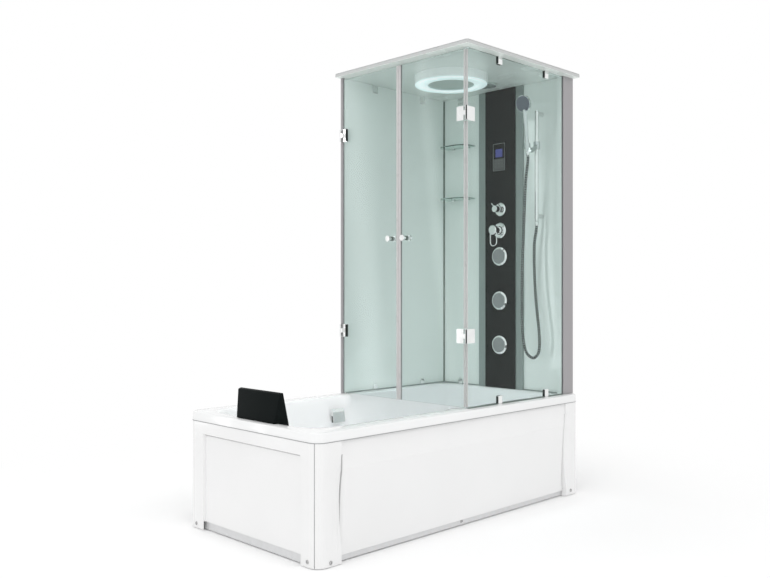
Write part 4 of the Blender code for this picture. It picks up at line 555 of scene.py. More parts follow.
def rib_radii(count):
    """Round ribs with narrow grooves between them."""
    crown = [math.sin(math.pi * step / RIB_STEPS) ** 0.5 for step in range(RIB_STEPS)]
    shares = [GROOVE_SHARE + (1 - GROOVE_SHARE) * crown[index % RIB_STEPS] for index in range(count)]
    return [RIB_RADIUS * share for share in shares]


RIB_METAL = finish("hose_rib", (0.46, 0.51, 0.49), (0.40, 0.45, 0.43), (0.12, 0.24), scale=90.0,
                   Metallic=0.9)
# Near-black flanks of the ribs: painted shade for the grooves.
GROOVE_PAINTED_SHADE = finish("hose_groove_painted_shade", (0.006, 0.009, 0.008), (0.004, 0.006, 0.005), (0.4, 0.55), scale=90.0,
                     Specular_IOR_Level=0.2)
rib_count = round(hose_length / RIB_PITCH)
hose_points, hose_length = hose_line(rib_count * RIB_STEPS)
hose_shape = swept(hose_points, rib_radii(len(hose_points)), HOSE_SIDES)
hose = piece("ribbed_hose", hose_shape, None, RIB_METAL, smooth=True)
hose.data.materials.append(GROOVE_PAINTED_SHADE)
# Faces at the rib crowns keep the metal; the flanks get the painted shade of the grooves.
for face in hose.data.polygons:
    ring = min(face.vertices) // HOSE_SIDES
    face.material_index = 0 if ring % RIB_STEPS in BRIGHT_STEPS else 1
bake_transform(hose)
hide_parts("hose")
print("hose", round(float(hose_length), 4), "m in", rib_count, "ribs")

# %% [markdown]
# When the holder slides on its rail, the hose's upper end goes with it and its lower end stays in
# the outlet. Height alone can't tell the two hanging lengths apart, so the share of the slider's
# motion for each ring of the hose is worked out from its place along the hose: fully at the
# handset, not at all from the lowest point of the loop on. Here the shares are only worked out.

# %% The share of the slider's motion for each ring of the hose
lowest = int(np.argmin(hose_points[:, 2]))
shares = np.clip(1 - np.arange(len(hose_points)) / lowest, 0, 1)
shares = np.repeat(shares * shares * (3 - 2 * shares), HOSE_SIDES)
print("rings that follow the slider:", lowest, "of", len(hose_points))

# %% [markdown]
# ## Finishes of the measured solids
#
# Most solids already have the right shape and only need a finish. Each could be set in a line of
# its own, but a table from finish to solid keeps this in one place. What the table doesn't name is
# chromed: hinges, knobs, clamps, jets, the rail, the taps and the drain. Three solids get nothing,
# because finer pieces stand for them.

# %% Give each solid its finish
WORN = (
    (APRON_ACRYLIC, ["front_apron", "end_apron"]),
    (FRAME_STEEL, ["support_frame", "foot_1", "foot_2", "foot_3", "foot_4"]),
    (WASTE, ["drain_trap", "overflow_pipe"]),
    (WALL, ["back_wall", "end_wall"]),
    (PROFILE_GREY, ["front_corner_profile", "back_corner_profile", "door_side_profile"]),
    (COLUMN_GREY, ["column_housing"]),
    (SHOWER_CHROME, ["handset", "handset_holder", "slider"]),
    (ROOF, ["roof"]),
    (RING_WHITE, ["ceiling_ring"]),
    (ROSE, ["rain_rose", "speaker"]),
    (CLEAR_GLASS, ["fixed_glass", "back_door_glass", "front_door_glass"]),
    (SHELF_GLASS, ["shelf_upper", "shelf_lower"]),
    (SEAL, ["back_door_seal", "front_door_seal"]),
    (DARK_GLASS, ["column_panel", "display"]),
)
STOOD_FOR = ("headrest", "hose", "tub_shell")
finish_of = {name: material for material, names in WORN for name in names}
for name in nodes:
    if name not in STOOD_FOR:
        wear(name, finish_of.get(name, CHROME))
print("solids with a finish:", len(nodes) - len(STOOD_FOR))

# %% [markdown]
# ## Tub
#
# The tub is one vacuum-formed sheet of acrylic, so its hollows run softly into each other. The
# measured shell has the right shape in few faces. Subdividing it would also round its crisp rim.
# Instead a copy is shaded smooth wherever two faces meet at a small angle, and stays sharp
# elsewhere. The inside gets a lighter copy of the same acrylic: painted light for a basin that gets little
# light.

# %% Shade the tub smooth
SOFT_ANGLE = math.radians(42)
INNER_X, INNER_Y, INNER_Z = 0.885, 0.435, 0.517


def copied(node):
    """The points and faces of one of the measured solids."""
    mesh = nodes[node].data
    return [v.co.copy() for v in mesh.vertices], [tuple(polygon.vertices) for polygon in mesh.polygons]


moulded_tub = piece("moulded_tub", copied("tub_shell"), "unit", ACRYLIC, smooth=True)
moulded_tub.data.set_sharp_from_angle(angle=SOFT_ANGLE)
# The inside faces of the basin take the lighter copy, painted light; the rest keeps the plain acrylic.
moulded_tub.data.materials.append(INNER_ACRYLIC_PAINTED_LIGHT)
for face in moulded_tub.data.polygons:
    x, y, z = face.center
    face.material_index = 1 if abs(x) < INNER_X and abs(y) < INNER_Y and z < INNER_Z else 0
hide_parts("tub_shell")
print("tub faces:", len(moulded_tub.data.polygons))

# %% [markdown]
# ## Headrest
#
# The headrest is one block of moulded black foam with flat faces and small soft edges. A cloth
# simulation would suit a stuffed cushion, but this foam is firm and keeps its form. The measured
# block already has its faces, so a copy of it only gets its edges rounded.

# %% Round the headrest
FOAM_EDGE = 0.0035
FOAM_ANGLE = math.radians(40)

headrest = piece("moulded_headrest", copied("headrest"), "unit", FOAM)
soften(headrest, FOAM_EDGE, segments=3)
headrest.data.shade_smooth()
headrest.data.set_sharp_from_angle(angle=FOAM_ANGLE)
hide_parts("headrest")
print("headrest faces:", len(headrest.data.polygons))

# %% [markdown]
# ## Edge strips and seals
#
# Soft plastic channels cover the glass edges where the front door meets the fixed pane, and a dark
# bead closes the inner corner between the two wall panels. Such strips are extruded in the factory
# too, so each is one outline, pulled upright. The channels stop short of the hinges, whose plates
# clamp the bare glass.

# %% Pull the strips upright
STRIP = finish("edge_strip", (0.54, 0.55, 0.545), (0.48, 0.49, 0.485), (0.25, 0.4), scale=18.0)
DARK_BEAD = finish("corner_bead", (0.17, 0.215, 0.19), (0.14, 0.18, 0.16), (0.35, 0.5), scale=30.0)
BETWEEN_HINGES = ((0.528, 0.818), (0.888, 1.841), (1.911, 2.170))
DOOR_CHANNEL = (
    (0.0215, -0.4012), (0.0305, -0.4012), (0.0305, -0.3962), (0.0292, -0.3962),
    (0.0292, -0.4002), (0.0228, -0.4002), (0.0228, -0.3962), (0.0215, -0.3962),
)
PANE_CHANNEL = (
    (0.0310, -0.4105), (0.0310, -0.4018), (0.0358, -0.4018), (0.0358, -0.4028),
    (0.0318, -0.4028), (0.0318, -0.4092), (0.0358, -0.4092), (0.0358, -0.4105),
)
BEAD = ((0.8257, 0.4297), (0.8257, 0.4225), (0.8240, 0.4235), (0.8195, 0.4280), (0.8185, 0.4297))
PANEL_FOOT_Z = 0.5210
PANEL_HEAD_Z = 2.1812
for name, outline, body in (("door_edge_channel", DOOR_CHANNEL, "front_door"),
                            ("pane_edge_channel", PANE_CHANNEL, "unit")):
    strips = [upright(outline, *span) for span in BETWEEN_HINGES]
    piece(name, gathered(*strips), body, STRIP)
piece("corner_bead", upright(BEAD, PANEL_FOOT_Z, PANEL_HEAD_Z), "unit", DARK_BEAD)
print("strips in", len(BETWEEN_HINGES), "lengths each")

# %% [markdown]
# ## Screws of the aprons
#
# Small cap screws hold the aprons to the frame near the floor. Typing in their depth would risk a
# screw that floats or sinks, so only the place on the front is given, and a ray finds the surface
# that each one sits on.

# %% Set a small round head on a surface
def surface_at(origin, way, *names):
    """The nearest place where a straight line meets one of the solids, and how it faces."""
    found = []
    for name in names:
        mesh = nodes[name].data
        net = BVHTree.FromPolygons([v.co for v in mesh.vertices], [p.vertices for p in mesh.polygons])
        place, normal, _, distance = net.ray_cast(Vector(origin), Vector(way))
        if place:
            found.append((distance, place, normal))
    distance, place, normal = min(found, key=lambda item: item[0])
    return place, normal if normal.dot(Vector(way)) < 0 else -normal


SCREW_RADIUS = 0.0085
SCREW_TOP_RADIUS = 0.0068
SOCKET_RADIUS = 0.003825
SCREW_HEAD = 0.0030
SOCKET_FLOOR = 0.0009
SCREW_SUNK = 0.001
SCREW_PROFILE = (
    (0, -SCREW_SUNK), (SCREW_RADIUS, -SCREW_SUNK), (SCREW_RADIUS, SCREW_HEAD / 2),
    (SCREW_TOP_RADIUS, SCREW_HEAD), (SOCKET_RADIUS, SCREW_HEAD),
    (SOCKET_RADIUS, SOCKET_FLOOR), (0, SOCKET_FLOOR),
)
SCREW_PLACES = {
    "end_screw_back": ((-1.2, 0.384, 0.022), (1, 0, 0)),
    "end_screw_front": ((-1.2, -0.393, 0.024), (1, 0, 0)),
    "front_screw_head": ((-0.831, -0.8, 0.018), (0, 1, 0)),
    "front_screw_middle": ((-0.027, -0.8, 0.021), (0, 1, 0)),
    "front_screw_shower": ((0.817, -0.8, 0.025), (0, 1, 0)),
}
SCREW = finish("screw_cap", (0.55, 0.55, 0.55), (0.40, 0.40, 0.40), (0.2, 0.35), scale=120.0, Metallic=0.5)
for name, (origin, way) in SCREW_PLACES.items():
    place, normal = surface_at(origin, way, "front_apron", "end_apron", "support_frame")
    piece(name, turned(SCREW_PROFILE, place, normal, steps=20), "unit", SCREW)
print("screws:", len(SCREW_PLACES))

# %% [markdown]
# ## Nozzle faces
#
# The body jets, the rain rose and the hand shower all spray through rings of small rubber nozzles.
# A bump pattern would be cheaper, but it has no outline and vanishes from the side. So one function
# lays rings of real studs on a round plate. The speaker's grille is made in the same way.

# %% A plate with rings of nozzles
FACE_SEAT = 0.0002
PLATE_STEPS = 48
PLATE_EDGE_SHARE = 0.6
STUD_SHOULDER, STUD_SHOULDER_HEIGHT = 0.8, 0.7
STUD_TIP = 0.45


def nozzle_face(base, way, rings, radius, thick, stud_radius, stud_height, sides=8):
    """A thin round plate on a face, with rings of (distance, number) studs on it."""
    way = Vector(way).normalized()
    base = Vector(base)
    first, second = side_ways(way)
    edge = thick * PLATE_EDGE_SHARE
    top = FACE_SEAT + thick
    profile = [(0, FACE_SEAT), (radius, FACE_SEAT), (radius, FACE_SEAT + edge), (radius - edge, top), (0, top)]
    stud = [(0, FACE_SEAT), (stud_radius, FACE_SEAT),
            (stud_radius * STUD_SHOULDER, top + stud_height * STUD_SHOULDER_HEIGHT),
            (stud_radius * STUD_TIP, top + stud_height), (0, top + stud_height)]
    shapes = [turned(profile, base, way, PLATE_STEPS)]
    for distance, number in rings:
        for index in range(number):
            angle = 2 * math.pi * (index + 0.5 * (number % 4 == 0)) / number
            spoke = first * math.cos(angle) + second * math.sin(angle)
            shapes.append(turned(stud, base + spoke * distance, way, sides))
    return gathered(*shapes)


def nozzle_rings(step, count):
    """One nozzle in the middle and rings of 6, 12, 18 and so on around it."""
    return ((0.0, 1), *((step * ring, 6 * ring) for ring in range(1, count + 1)))


def under(node):
    """The middle of a solid's underside."""
    low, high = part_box(node)
    return (low.x + high.x) / 2, (low.y + high.y) / 2, low.z


print("helpers ready: nozzle_face, nozzle_rings, under")

# %% Faces of the jets and the rain rose
JET_GREY = finish("jet_rubber", (0.31, 0.33, 0.33), (0.27, 0.29, 0.29), (0.4, 0.55), scale=70.0)
JET_RINGS = ((0.0, 1), (0.009, 6), (0.018, 12), (0.027, 18), (0.035, 24))
ROSE_RINGS = nozzle_rings(0.0125, 8)
for number in range(1, 4):
    low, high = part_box(f"jet_{number}")
    base = (low.x, (low.y + high.y) / 2, (low.z + high.z) / 2)
    shape = nozzle_face(base, (-1, 0, 0), JET_RINGS, radius=0.0414, thick=0.0010, stud_radius=0.0013,
                        stud_height=0.0008)
    piece(f"jet_face_{number}", shape, "unit", JET_GREY)
shape = nozzle_face(under("rain_rose"), (0, 0, -1), ROSE_RINGS, radius=0.112, thick=0.0012,
                    stud_radius=0.0020, stud_height=0.0016, sides=6)
piece("rose_face", shape, "unit", ROSE)
print("rain rose:", sum(number for distance, number in ROSE_RINGS), "nozzles")

# %% Face of the hand shower and the speaker's grille
HEAD_LIFT = 0.247
HEAD_FORWARD = 0.011
HEAD_PITCH = math.radians(17.0)
HEAD_AXIS = Vector((-math.cos(HEAD_PITCH), 0, -math.sin(HEAD_PITCH)))
HEAD_FACE = PIVOT + HANDSET_AXIS * HEAD_LIFT + HEAD_AXIS * HEAD_FORWARD
HAND_RINGS = nozzle_rings(0.008, 4)
GRILLE_RINGS = nozzle_rings(0.006, 7)[1:]
FACE_BLUE = finish("handset_face", (0.13, 0.155, 0.19), (0.10, 0.12, 0.15), (0.3, 0.45), scale=70.0)
shape = nozzle_face(HEAD_FACE, HEAD_AXIS, HAND_RINGS, radius=0.0420, thick=0.0014,
                    stud_radius=0.0012, stud_height=0.0010)
piece("handset_face", shape, "hand_shower", FACE_BLUE)
GRILLE = finish("speaker_grille", (0.34, 0.39, 0.37), (0.30, 0.35, 0.33), (0.4, 0.5), scale=60.0)
shape = nozzle_face(under("speaker"), (0, 0, -1), GRILLE_RINGS, radius=0.046, thick=0.0008,
                    stud_radius=0.0012, stud_height=0.0004, sides=5)
piece("speaker_grille", shape, "unit", GRILLE)
print("faces with nozzles or studs: 6")

# %% [markdown]
# ## Hose nuts
#
# A conical nut grips each end of the hose. The handset swivels in the upper one, which hangs from
# the slider with the hose, and the lower one stays on the rail's outlet. Real nuts come off a
# lathe, so one profile of a plain skirt below a short collar is turned for both.

# %% Turn the two nuts
NUT_PROFILE = ((0.0069, 0.0006), (0.0106, 0.0006), (0.0106, 0.0090), (0.0100, 0.0100),
               (0.0090, 0.0250), (0.0069, 0.0250), (0.0069, 0.0006))
upper_nut = turned(NUT_PROFILE, PIVOT, -HANDSET_AXIS, steps=24)
lower_nut = turned(NUT_PROFILE, HOSE_OUTLET, (0, 0, -1), steps=24)
piece("upper_hose_nut", upper_nut, "rail_slider", CHROME, smooth=True)
piece("lower_hose_nut", lower_nut, "unit", CHROME, smooth=True)
print("nuts of", len(NUT_PROFILE), "profile points")

# %% [markdown]
# ## Display
#
# The control unit on the column is a dark glass plate with a narrow metal frame, a small blue
# screen in its upper half and rows of flat buttons below. A picture on the plate could show all
# that, but thin plates keep their edges at any distance. The screen glows a little.

# %% Frame of the display
BAR = 0.0028
FRAME_THICK = 0.0010
display_low, display_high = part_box("display")
DISPLAY_FRONT = display_low.x


def front_slab(low_yz, high_yz, thick):
    """A thin block on the front of the display."""
    return slab((DISPLAY_FRONT - thick, *low_yz), (DISPLAY_FRONT, *high_yz))


left, right = display_low.y, display_high.y
foot, head = display_low.z, display_high.z
bars = [
    front_slab((left, foot), (left + BAR, head), FRAME_THICK),
    front_slab((right - BAR, foot), (right, head), FRAME_THICK),
    front_slab((left + BAR, foot), (right - BAR, foot + BAR), FRAME_THICK),
    front_slab((left + BAR, head - BAR), (right - BAR, head), FRAME_THICK),
]
FRAME_METAL = finish("frame_metal", (0.28, 0.29, 0.29), (0.22, 0.23, 0.23), (0.3, 0.4), scale=60.0,
                     Metallic=0.5)
piece("display_frame", gathered(*bars), "unit", FRAME_METAL)
print("display", round(right - left, 4), "by", round(head - foot, 4), "m")

# %% Screen and buttons
SCREEN_THICK = 0.0006
KEYS_THICK = 0.0003
SCREEN = finish("blue_screen", (0.055, 0.062, 0.22), (0.045, 0.05, 0.18), (0.08, 0.12), scale=60.0,
                Emission_Color=(0.05, 0.06, 0.24, 1), Emission_Strength=0.4)
KEY_PLATE = finish("key_plate", (0.085, 0.092, 0.09), (0.07, 0.077, 0.074), (0.3, 0.4), scale=60.0)
BUTTON = finish("flat_button", (0.14, 0.15, 0.145), (0.12, 0.13, 0.125), (0.35, 0.45), scale=60.0)
BUTTON_PROFILE = ((0, 0), (0.0046, 0), (0.0046, 0.0005), (0.0038, 0.0009), (0, 0.0009))
BUTTON_ROWS = (1.7850, 1.7680, 1.7510)
BUTTON_COLUMNS = (-0.014, 0.0075, 0.029)
SCREEN_CORNERS = (-0.0155, 1.8045), (0.0315, 1.8490)
KEYS_CORNERS = (-0.0300, 1.7350), (0.0450, 1.7950)
buttons = [turned(BUTTON_PROFILE, (DISPLAY_FRONT, y, z), (-1, 0, 0), steps=20)
           for z in BUTTON_ROWS for y in BUTTON_COLUMNS]
piece("display_screen", front_slab(*SCREEN_CORNERS, SCREEN_THICK), "unit", SCREEN)
piece("display_keys", front_slab(*KEYS_CORNERS, KEYS_THICK), "unit", KEY_PLATE)
piece("display_buttons", gathered(*buttons), "unit", BUTTON)
print("buttons:", len(buttons))

# %% [markdown]
# ## Clamps on the walls and clips of the shelves
#
# Small chrome fittings hold the wall panels. The lower ones have a straight side at the panel's
# edge and a round end, and the upper ones are square. Each glass shelf rests between pairs of round
# clips. All of them are outlines drawn on a face and pulled off it, with a small bevel, since cast
# chrome has no knife edges.

# %% Outlines of the fittings
BOW_STEPS = 8


def round_end(width, height):
    """Straight at its foot and round at its far end."""
    radius = width / 2
    bow = [math.pi * step / BOW_STEPS for step in range(BOW_STEPS + 1)]
    return [(-radius, 0), (radius, 0)] + [
        (radius * math.cos(turn), height - radius + radius * math.sin(turn)) for turn in bow
    ]


def square_end(width, height):
    return [(-width / 2, 0), (width / 2, 0), (width / 2, height), (-width / 2, height)]


BACK_FACE_Y = 0.4297
END_FACE_X = 0.8257
LOWER_OUTLINE = round_end(0.030, 0.034)
LOWER_DEPTH, LOWER_EDGE = 0.0060, 0.0008
UPPER_OUTLINE = square_end(0.034, 0.042)
UPPER_DEPTH, UPPER_EDGE = 0.0080, 0.0020
WALL_CLAMPS = (
    ("back_wall_clamp", "_1", (0.254, BACK_FACE_Y), (1, 0, 0), (0, -1, 0)),
    ("back_wall_clamp", "_2", (0.632, BACK_FACE_Y), (1, 0, 0), (0, -1, 0)),
    ("end_wall_clamp", "", (END_FACE_X, 0.300), (0, 1, 0), (-1, 0, 0)),
)
for name, number, place, across, out in WALL_CLAMPS:
    lower = plate(LOWER_OUTLINE, LOWER_DEPTH, (*place, PANEL_FOOT_Z), across, (0, 0, 1), out)
    upper = plate(UPPER_OUTLINE, UPPER_DEPTH, (*place, PANEL_HEAD_Z), across, (0, 0, -1), out)
    soften(piece(f"{name}_lower{number}", lower, "unit", CHROME), LOWER_EDGE)
    soften(piece(f"{name}_upper{number}", upper, "unit", CHROME), UPPER_EDGE)
print("wall clamps:", 2 * len(WALL_CLAMPS))

# %% Clips of the shelves
CLIP_OUTLINE = round_end(0.018, 0.020)
CLIP_DEPTH, CLIP_EDGE = 0.0050, 0.001
CLIP_INSET = 0.045
CLIP_GAP = 0.0002
for name in ("shelf_upper", "shelf_lower"):
    low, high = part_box(name)
    clips = [plate(CLIP_OUTLINE, CLIP_DEPTH, (END_FACE_X, y, z), (0, 1, 0), (-1, 0, 0), (0, 0, way))
             for y in (low.y + CLIP_INSET, high.y - CLIP_INSET)
             for z, way in ((low.z - CLIP_GAP, -1), (high.z + CLIP_GAP, 1))]
    soften(piece(f"{name}_clips", gathered(*clips), "unit", CHROME), CLIP_EDGE)
print("clips on each shelf:", len(clips))

# %% [markdown]
# ## Seams
#
# Where two white pieces meet, the eye sees a thin shadow line. A gap of a millimetre would hardly
# show from here, so a thin grey bead lies in each joint. The line under the tub's rim follows the
# rim's own outline, which is read off the solid by cutting it with a level plane. The joint of the
# two aprons is a straight bead.

# %% The outline of a solid at one height
def outline_at(name, z):
    """The longest outline where a level plane cuts a solid, as a list of points."""
    bm = bmesh.new()
    bm.from_mesh(nodes[name].data)
    bmesh.ops.remove_doubles(bm, verts=bm.verts, dist=WELD)
    cut = bmesh.ops.bisect_plane(bm, geom=bm.verts[:] + bm.edges[:] + bm.faces[:], dist=WELD,
                                 plane_co=(0, 0, z), plane_no=(0, 0, 1))
    bm.edges.index_update()
    edges = [item for item in cut["geom_cut"] if isinstance(item, bmesh.types.BMEdge)]
    edges.sort(key=lambda edge: edge.index)
    loops = []
    while edges:
        loop = list(edges.pop(0).verts)
        after = next((e for e in edges if loop[-1] in e.verts), None)
        while after:
            edges.remove(after)
            loop.append(after.other_vert(loop[-1]))
            after = next((e for e in edges if loop[-1] in e.verts), None)
        loops.append([v.co.copy() for v in loop])
    bm.free()
    return max(loops, key=lambda loop: sum((a - b).length for a, b in zip(loop, loop[1:])))


RIM_SEAM_Z = 0.4803
rim_line = outline_at("tub_shell", RIM_SEAM_Z)
print("rim outline:", len(rim_line), "points")


# %% Lay the seams
def level_bead(loop, radius):
    """A closed bead of square section along a level outline."""
    line = [p for p, before in zip(loop, [loop[-1]] + loop[:-1]) if (p - before).length > 10 * WELD]
    count = len(line)
    points = []
    for index, middle in enumerate(line):
        way = (line[(index + 1) % count] - line[index - 1]).normalized()
        side = Vector((way.y, -way.x, 0)) * radius
        rise = Vector((0, 0, radius))
        points += [middle + side - rise, middle + side + rise, middle - side + rise, middle - side - rise]
    faces = []
    for index in range(count):
        low, high = 4 * index, 4 * ((index + 1) % count)
        faces += [(low + a, low + (a + 1) % 4, high + (a + 1) % 4, high + a) for a in range(4)]
    return points, faces


SEAM = finish("shadow_seam", (0.35, 0.355, 0.36), (0.28, 0.285, 0.29), (0.5, 0.7), scale=40.0)
SEAM_RADIUS = 0.0013
APRON_JOINT = ((-0.8927, -0.4262, 0.004), (-0.8927, -0.4262, 0.4795))
piece("rim_seam", level_bead(rim_line, SEAM_RADIUS), "unit", SEAM)
piece("apron_joint", rod(APRON_JOINT, SEAM_RADIUS, sides=6), "unit", SEAM, smooth=True)
print("seams: 2")

# %% [markdown]
# The aprons have shallow recessed fields, whose edges show as soft grey lines. The solids have the
# steps, but light this soft hardly shades them, so a thin round bead follows each edge. On the
# front it is laid point by point on the surface, with the same ray as the screws.

# %% Shadow lines of the recesses
RECESS_SHADE = finish("recess_shade", (0.46, 0.46, 0.46), (0.40, 0.40, 0.40), (0.4, 0.6), scale=20.0)
FAINT_SHADE = finish("faint_shade", (0.68, 0.68, 0.68), (0.62, 0.62, 0.62), (0.4, 0.6), scale=20.0)
RECESS_RADIUS = 0.0024
RECESS_X = -0.8898
RECESS_LEFT_Y, RECESS_RIGHT_Y = 0.3265, -0.3470
RECESS_FOOT_Z, RECESS_TOP_Z = 0.0330, 0.4225
RECESS_LINE = [
    (RECESS_X, y, z)
    for y, z in ((RECESS_LEFT_Y, RECESS_FOOT_Z), (RECESS_LEFT_Y, RECESS_TOP_Z),
                 (RECESS_RIGHT_Y, RECESS_TOP_Z), (RECESS_RIGHT_Y, RECESS_FOOT_Z))
]
piece("end_recess_line", rod(RECESS_LINE, RECESS_RADIUS), "unit", RECESS_SHADE, smooth=True)
GROOVE_X = 0.768
GROOVE_FOOT_Z = 0.035
GROOVE_STEP = 0.015
GROOVE_POINTS = 27
IN_FRONT_Y = -0.8
for name, x, shade in (("head", -GROOVE_X, RECESS_SHADE), ("shower", GROOVE_X, FAINT_SHADE)):
    heights = [GROOVE_FOOT_Z + GROOVE_STEP * step for step in range(GROOVE_POINTS)]
    line = [surface_at((x, IN_FRONT_Y, z), (0, 1, 0), "front_apron")[0] for z in heights]
    piece(f"front_recess_line_{name}", rod(line, RECESS_RADIUS), "unit", shade, smooth=True)
print("recess lines: 3")

# %% [markdown]
# ## Sealant and gaskets
#
# Silicone closes the foot of each glass wall, and thin black gaskets keep the clamps off the bare
# glass. A strip of the same black along each back hinge's moving leaf is painted shade at the
# plate's edge. They are blocks of a millimetre or so beside the measured solids. Their places come
# from those solids' boxes wherever there is one to ask.

# %% Lay the sealant
SEALANT = finish("sealant", (0.30, 0.35, 0.33), (0.26, 0.30, 0.285), (0.3, 0.45), scale=60.0)
# Dark rubber for the clamp gaskets, and the same black as painted shade at the hinges and the taps.
RUBBER_AND_GAP_SHADE = finish("dark_rubber_and_gap_shade", (0.020, 0.024, 0.022), (0.014, 0.017, 0.016), (0.4, 0.6), scale=90.0)
RIM_Z = 0.5202
SEALANT_TOP_Z = 0.5255
SEALED_FROM_X, SEALED_TO_X = 0.042, 0.8255
WALL_LINES = (
    ("back_wall_sealant", (SEALED_FROM_X, 0.4235), (SEALED_TO_X, BACK_FACE_Y)),
    ("end_wall_sealant", (0.8205, -0.3750), (SEALED_TO_X, 0.4230)),
)
for name, low, high in WALL_LINES:
    piece(name, slab((*low, RIM_Z), (*high, SEALANT_TOP_Z)), "unit", SEALANT)
PANE_END_X = 0.804
PANE_LINE = 0.0020
PANE_TOP_Z = 0.5242
PANE_SIDES_Y = (-0.4112, -0.4028)
foot_lines = [slab((SEALED_FROM_X, y, RIM_Z), (PANE_END_X, y + PANE_LINE, PANE_TOP_Z)) for y in PANE_SIDES_Y]
piece("fixed_glass_foot", gathered(*foot_lines), "unit", DARK_BEAD)
print("sealant lines:", len(WALL_LINES) + len(foot_lines))

# %% Lay the gaskets of the clamps
THIN_STRIP = 0.0012
THIN_STRIP_INSET = 0.001
gaskets = []
for number in range(1, 5):
    low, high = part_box(f"glass_clamp_{number}")
    for side in (low.x - THIN_STRIP, high.x):
        gaskets.append(slab((side, low.y + THIN_STRIP_INSET, low.z + 3 * THIN_STRIP_INSET),
                            (side + THIN_STRIP, high.y - THIN_STRIP_INSET, high.z - 3 * THIN_STRIP_INSET)))
piece("clamp_gaskets", gathered(*gaskets), "unit", RUBBER_AND_GAP_SHADE)
print("clamp gaskets:", len(gaskets))

# %% [markdown]
# Dark lines also mark what turns: painted shade in the gap at each front hinge's pin and along the
# edge of each back hinge's moving leaf, the rubber washers that keep the knobs off the glass, and
# rings of painted shade in the joints behind the mixer and the diverter. Each rides on the body that
# it is fixed to on the real object, so it goes along when a door opens.

# %% Painted shade in the gaps and along the leaves of the hinges
HINGE_BAND = 0.032
GAP_RADIUS = 0.0034
GAP_X, GAP_Y = 0.0104, -0.4216
HINGE_HEIGHTS = (("upper", 1.876), ("lower", 0.853))
for place, z in HINGE_HEIGHTS:
    # A dark rod in the pin's gap: painted shade.
    gap = rod([(GAP_X, GAP_Y, z - HINGE_BAND), (GAP_X, GAP_Y, z + HINGE_BAND)], GAP_RADIUS)
    piece(f"front_{place}_hinge_gap_shade", gap, "unit", RUBBER_AND_GAP_SHADE, smooth=True)
    # A dark strip along the door-side edge of the moving leaf: painted shade at the plate's edge.
    low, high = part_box(f"back_{place}_hinge_moving_leaf")
    leaf = slab((low.x + THIN_STRIP_INSET, low.y - THIN_STRIP, low.z + THIN_STRIP_INSET),
                (high.x - THIN_STRIP_INSET, low.y, high.z - THIN_STRIP_INSET))
    piece(f"back_{place}_hinge_edge_shade", leaf, "back_door", RUBBER_AND_GAP_SHADE)


print("hinges:", 2 * len(HINGE_HEIGHTS))


# %% Washers of the knobs, and rings of painted shade at the taps
def flat_ring(center, way, inner, outer, thick):
    """A flat ring that stands on a center."""
    profile = [(inner, 0), (outer, 0), (outer, thick), (inner, thick), (inner, 0)]
    return turned(profile, center, way, steps=24)


KNOB_Z = 1.320
KNOB_BORE = 0.0079
KNOB_WASHER = 0.0022
KNOB_STEPS = ((0.0206, 0.0108), (0.0293, 0.0108), (0.0385, 0.0086))
KNOBS = (("back_door", 0.074), ("front_door", -0.025))
for door, y in KNOBS:
    rings = [flat_ring((x, y, KNOB_Z), (1, 0, 0), KNOB_BORE, outer, KNOB_WASHER) for x, outer in KNOB_STEPS]
    piece(f"{door}_knob_washers", gathered(*rings), door, DARK_BEAD)
BODY_RING = (0.0219, 0.0245, 0.0016)
STEM_RING = (0.0099, 0.0150, 0.0016)
DIVERTER_RING = (0.0099, 0.0150, 0.0020)
TAPS = (
    ("mixer_shade_rings", (((0.7998, 0.005, 1.396), BODY_RING), ((0.7716, 0.005, 1.396), STEM_RING))),
    ("diverter_shade_ring", (((0.8018, 0.002, 1.513), DIVERTER_RING),)),
)
# Dark rings in the joints behind the mixer and the diverter: painted shade.
for name, places in TAPS:
    rings = [flat_ring(center, (-1, 0, 0), *sizes) for center, sizes in places]
    piece(name, gathered(*rings), "unit", RUBBER_AND_GAP_SHADE)
print("knobs and taps with rings:", len(KNOBS) + len(TAPS))

# %% [markdown]
# ## Lamp and speaker rings
#
# The underside of the round ceiling ring is a milky cover over lamps, so it is brighter than the
# ring's side. Real lamps behind it would cost much render time for the same look, so the cover
# itself glows a little. A narrow metal ring frames the speaker. Both are turned profiles.

# %% Rings on the ceiling
RING_PLACE = (0.390, 0.0, 2.1347)
SPEAKER_PLACE = (0.661, -0.013, 2.1717)
COVER_PROFILE = ((0.1305, 0.0002), (0.187, 0.0002), (0.185, 0.0022), (0.119, 0.0022), (0.119, 0.0008),
                 (0.1305, 0.0008), (0.1305, 0.0002))
FRAME_PROFILE = ((0.0465, 0.0002), (0.0560, 0.0002), (0.0545, 0.0030), (0.0480, 0.0030), (0.0465, 0.0002))
SPEAKER_FRAME = finish("speaker_frame", (0.40, 0.44, 0.44), (0.36, 0.40, 0.40), (0.2, 0.3), scale=30.0)
lamp_cover = turned(COVER_PROFILE, RING_PLACE, (0, 0, -1), steps=64)
speaker_ring = turned(FRAME_PROFILE, SPEAKER_PLACE, (0, 0, -1), steps=40)
piece("lamp_cover", lamp_cover, "unit", LAMP_RING, smooth=True)
piece("speaker_ring", speaker_ring, "unit", SPEAKER_FRAME, smooth=True)
print("ceiling rings: 2")

# %% [markdown]
# ## Painted shade on the roof, and lining of the corner
#
# The roof is one slab of one acrylic. Its sides and top get darker copies of that colour, painted
# shade set by which way each face points, while the underside keeps the light colour. A material
# that changes with the direction of the surface could do this, but thin sheets around the slab are
# simpler and have true edges. In the same way, the cabin side of the front corner profile is covered
# by the lacquered panel of the wall, so that only the profile's narrow edge shows dark.

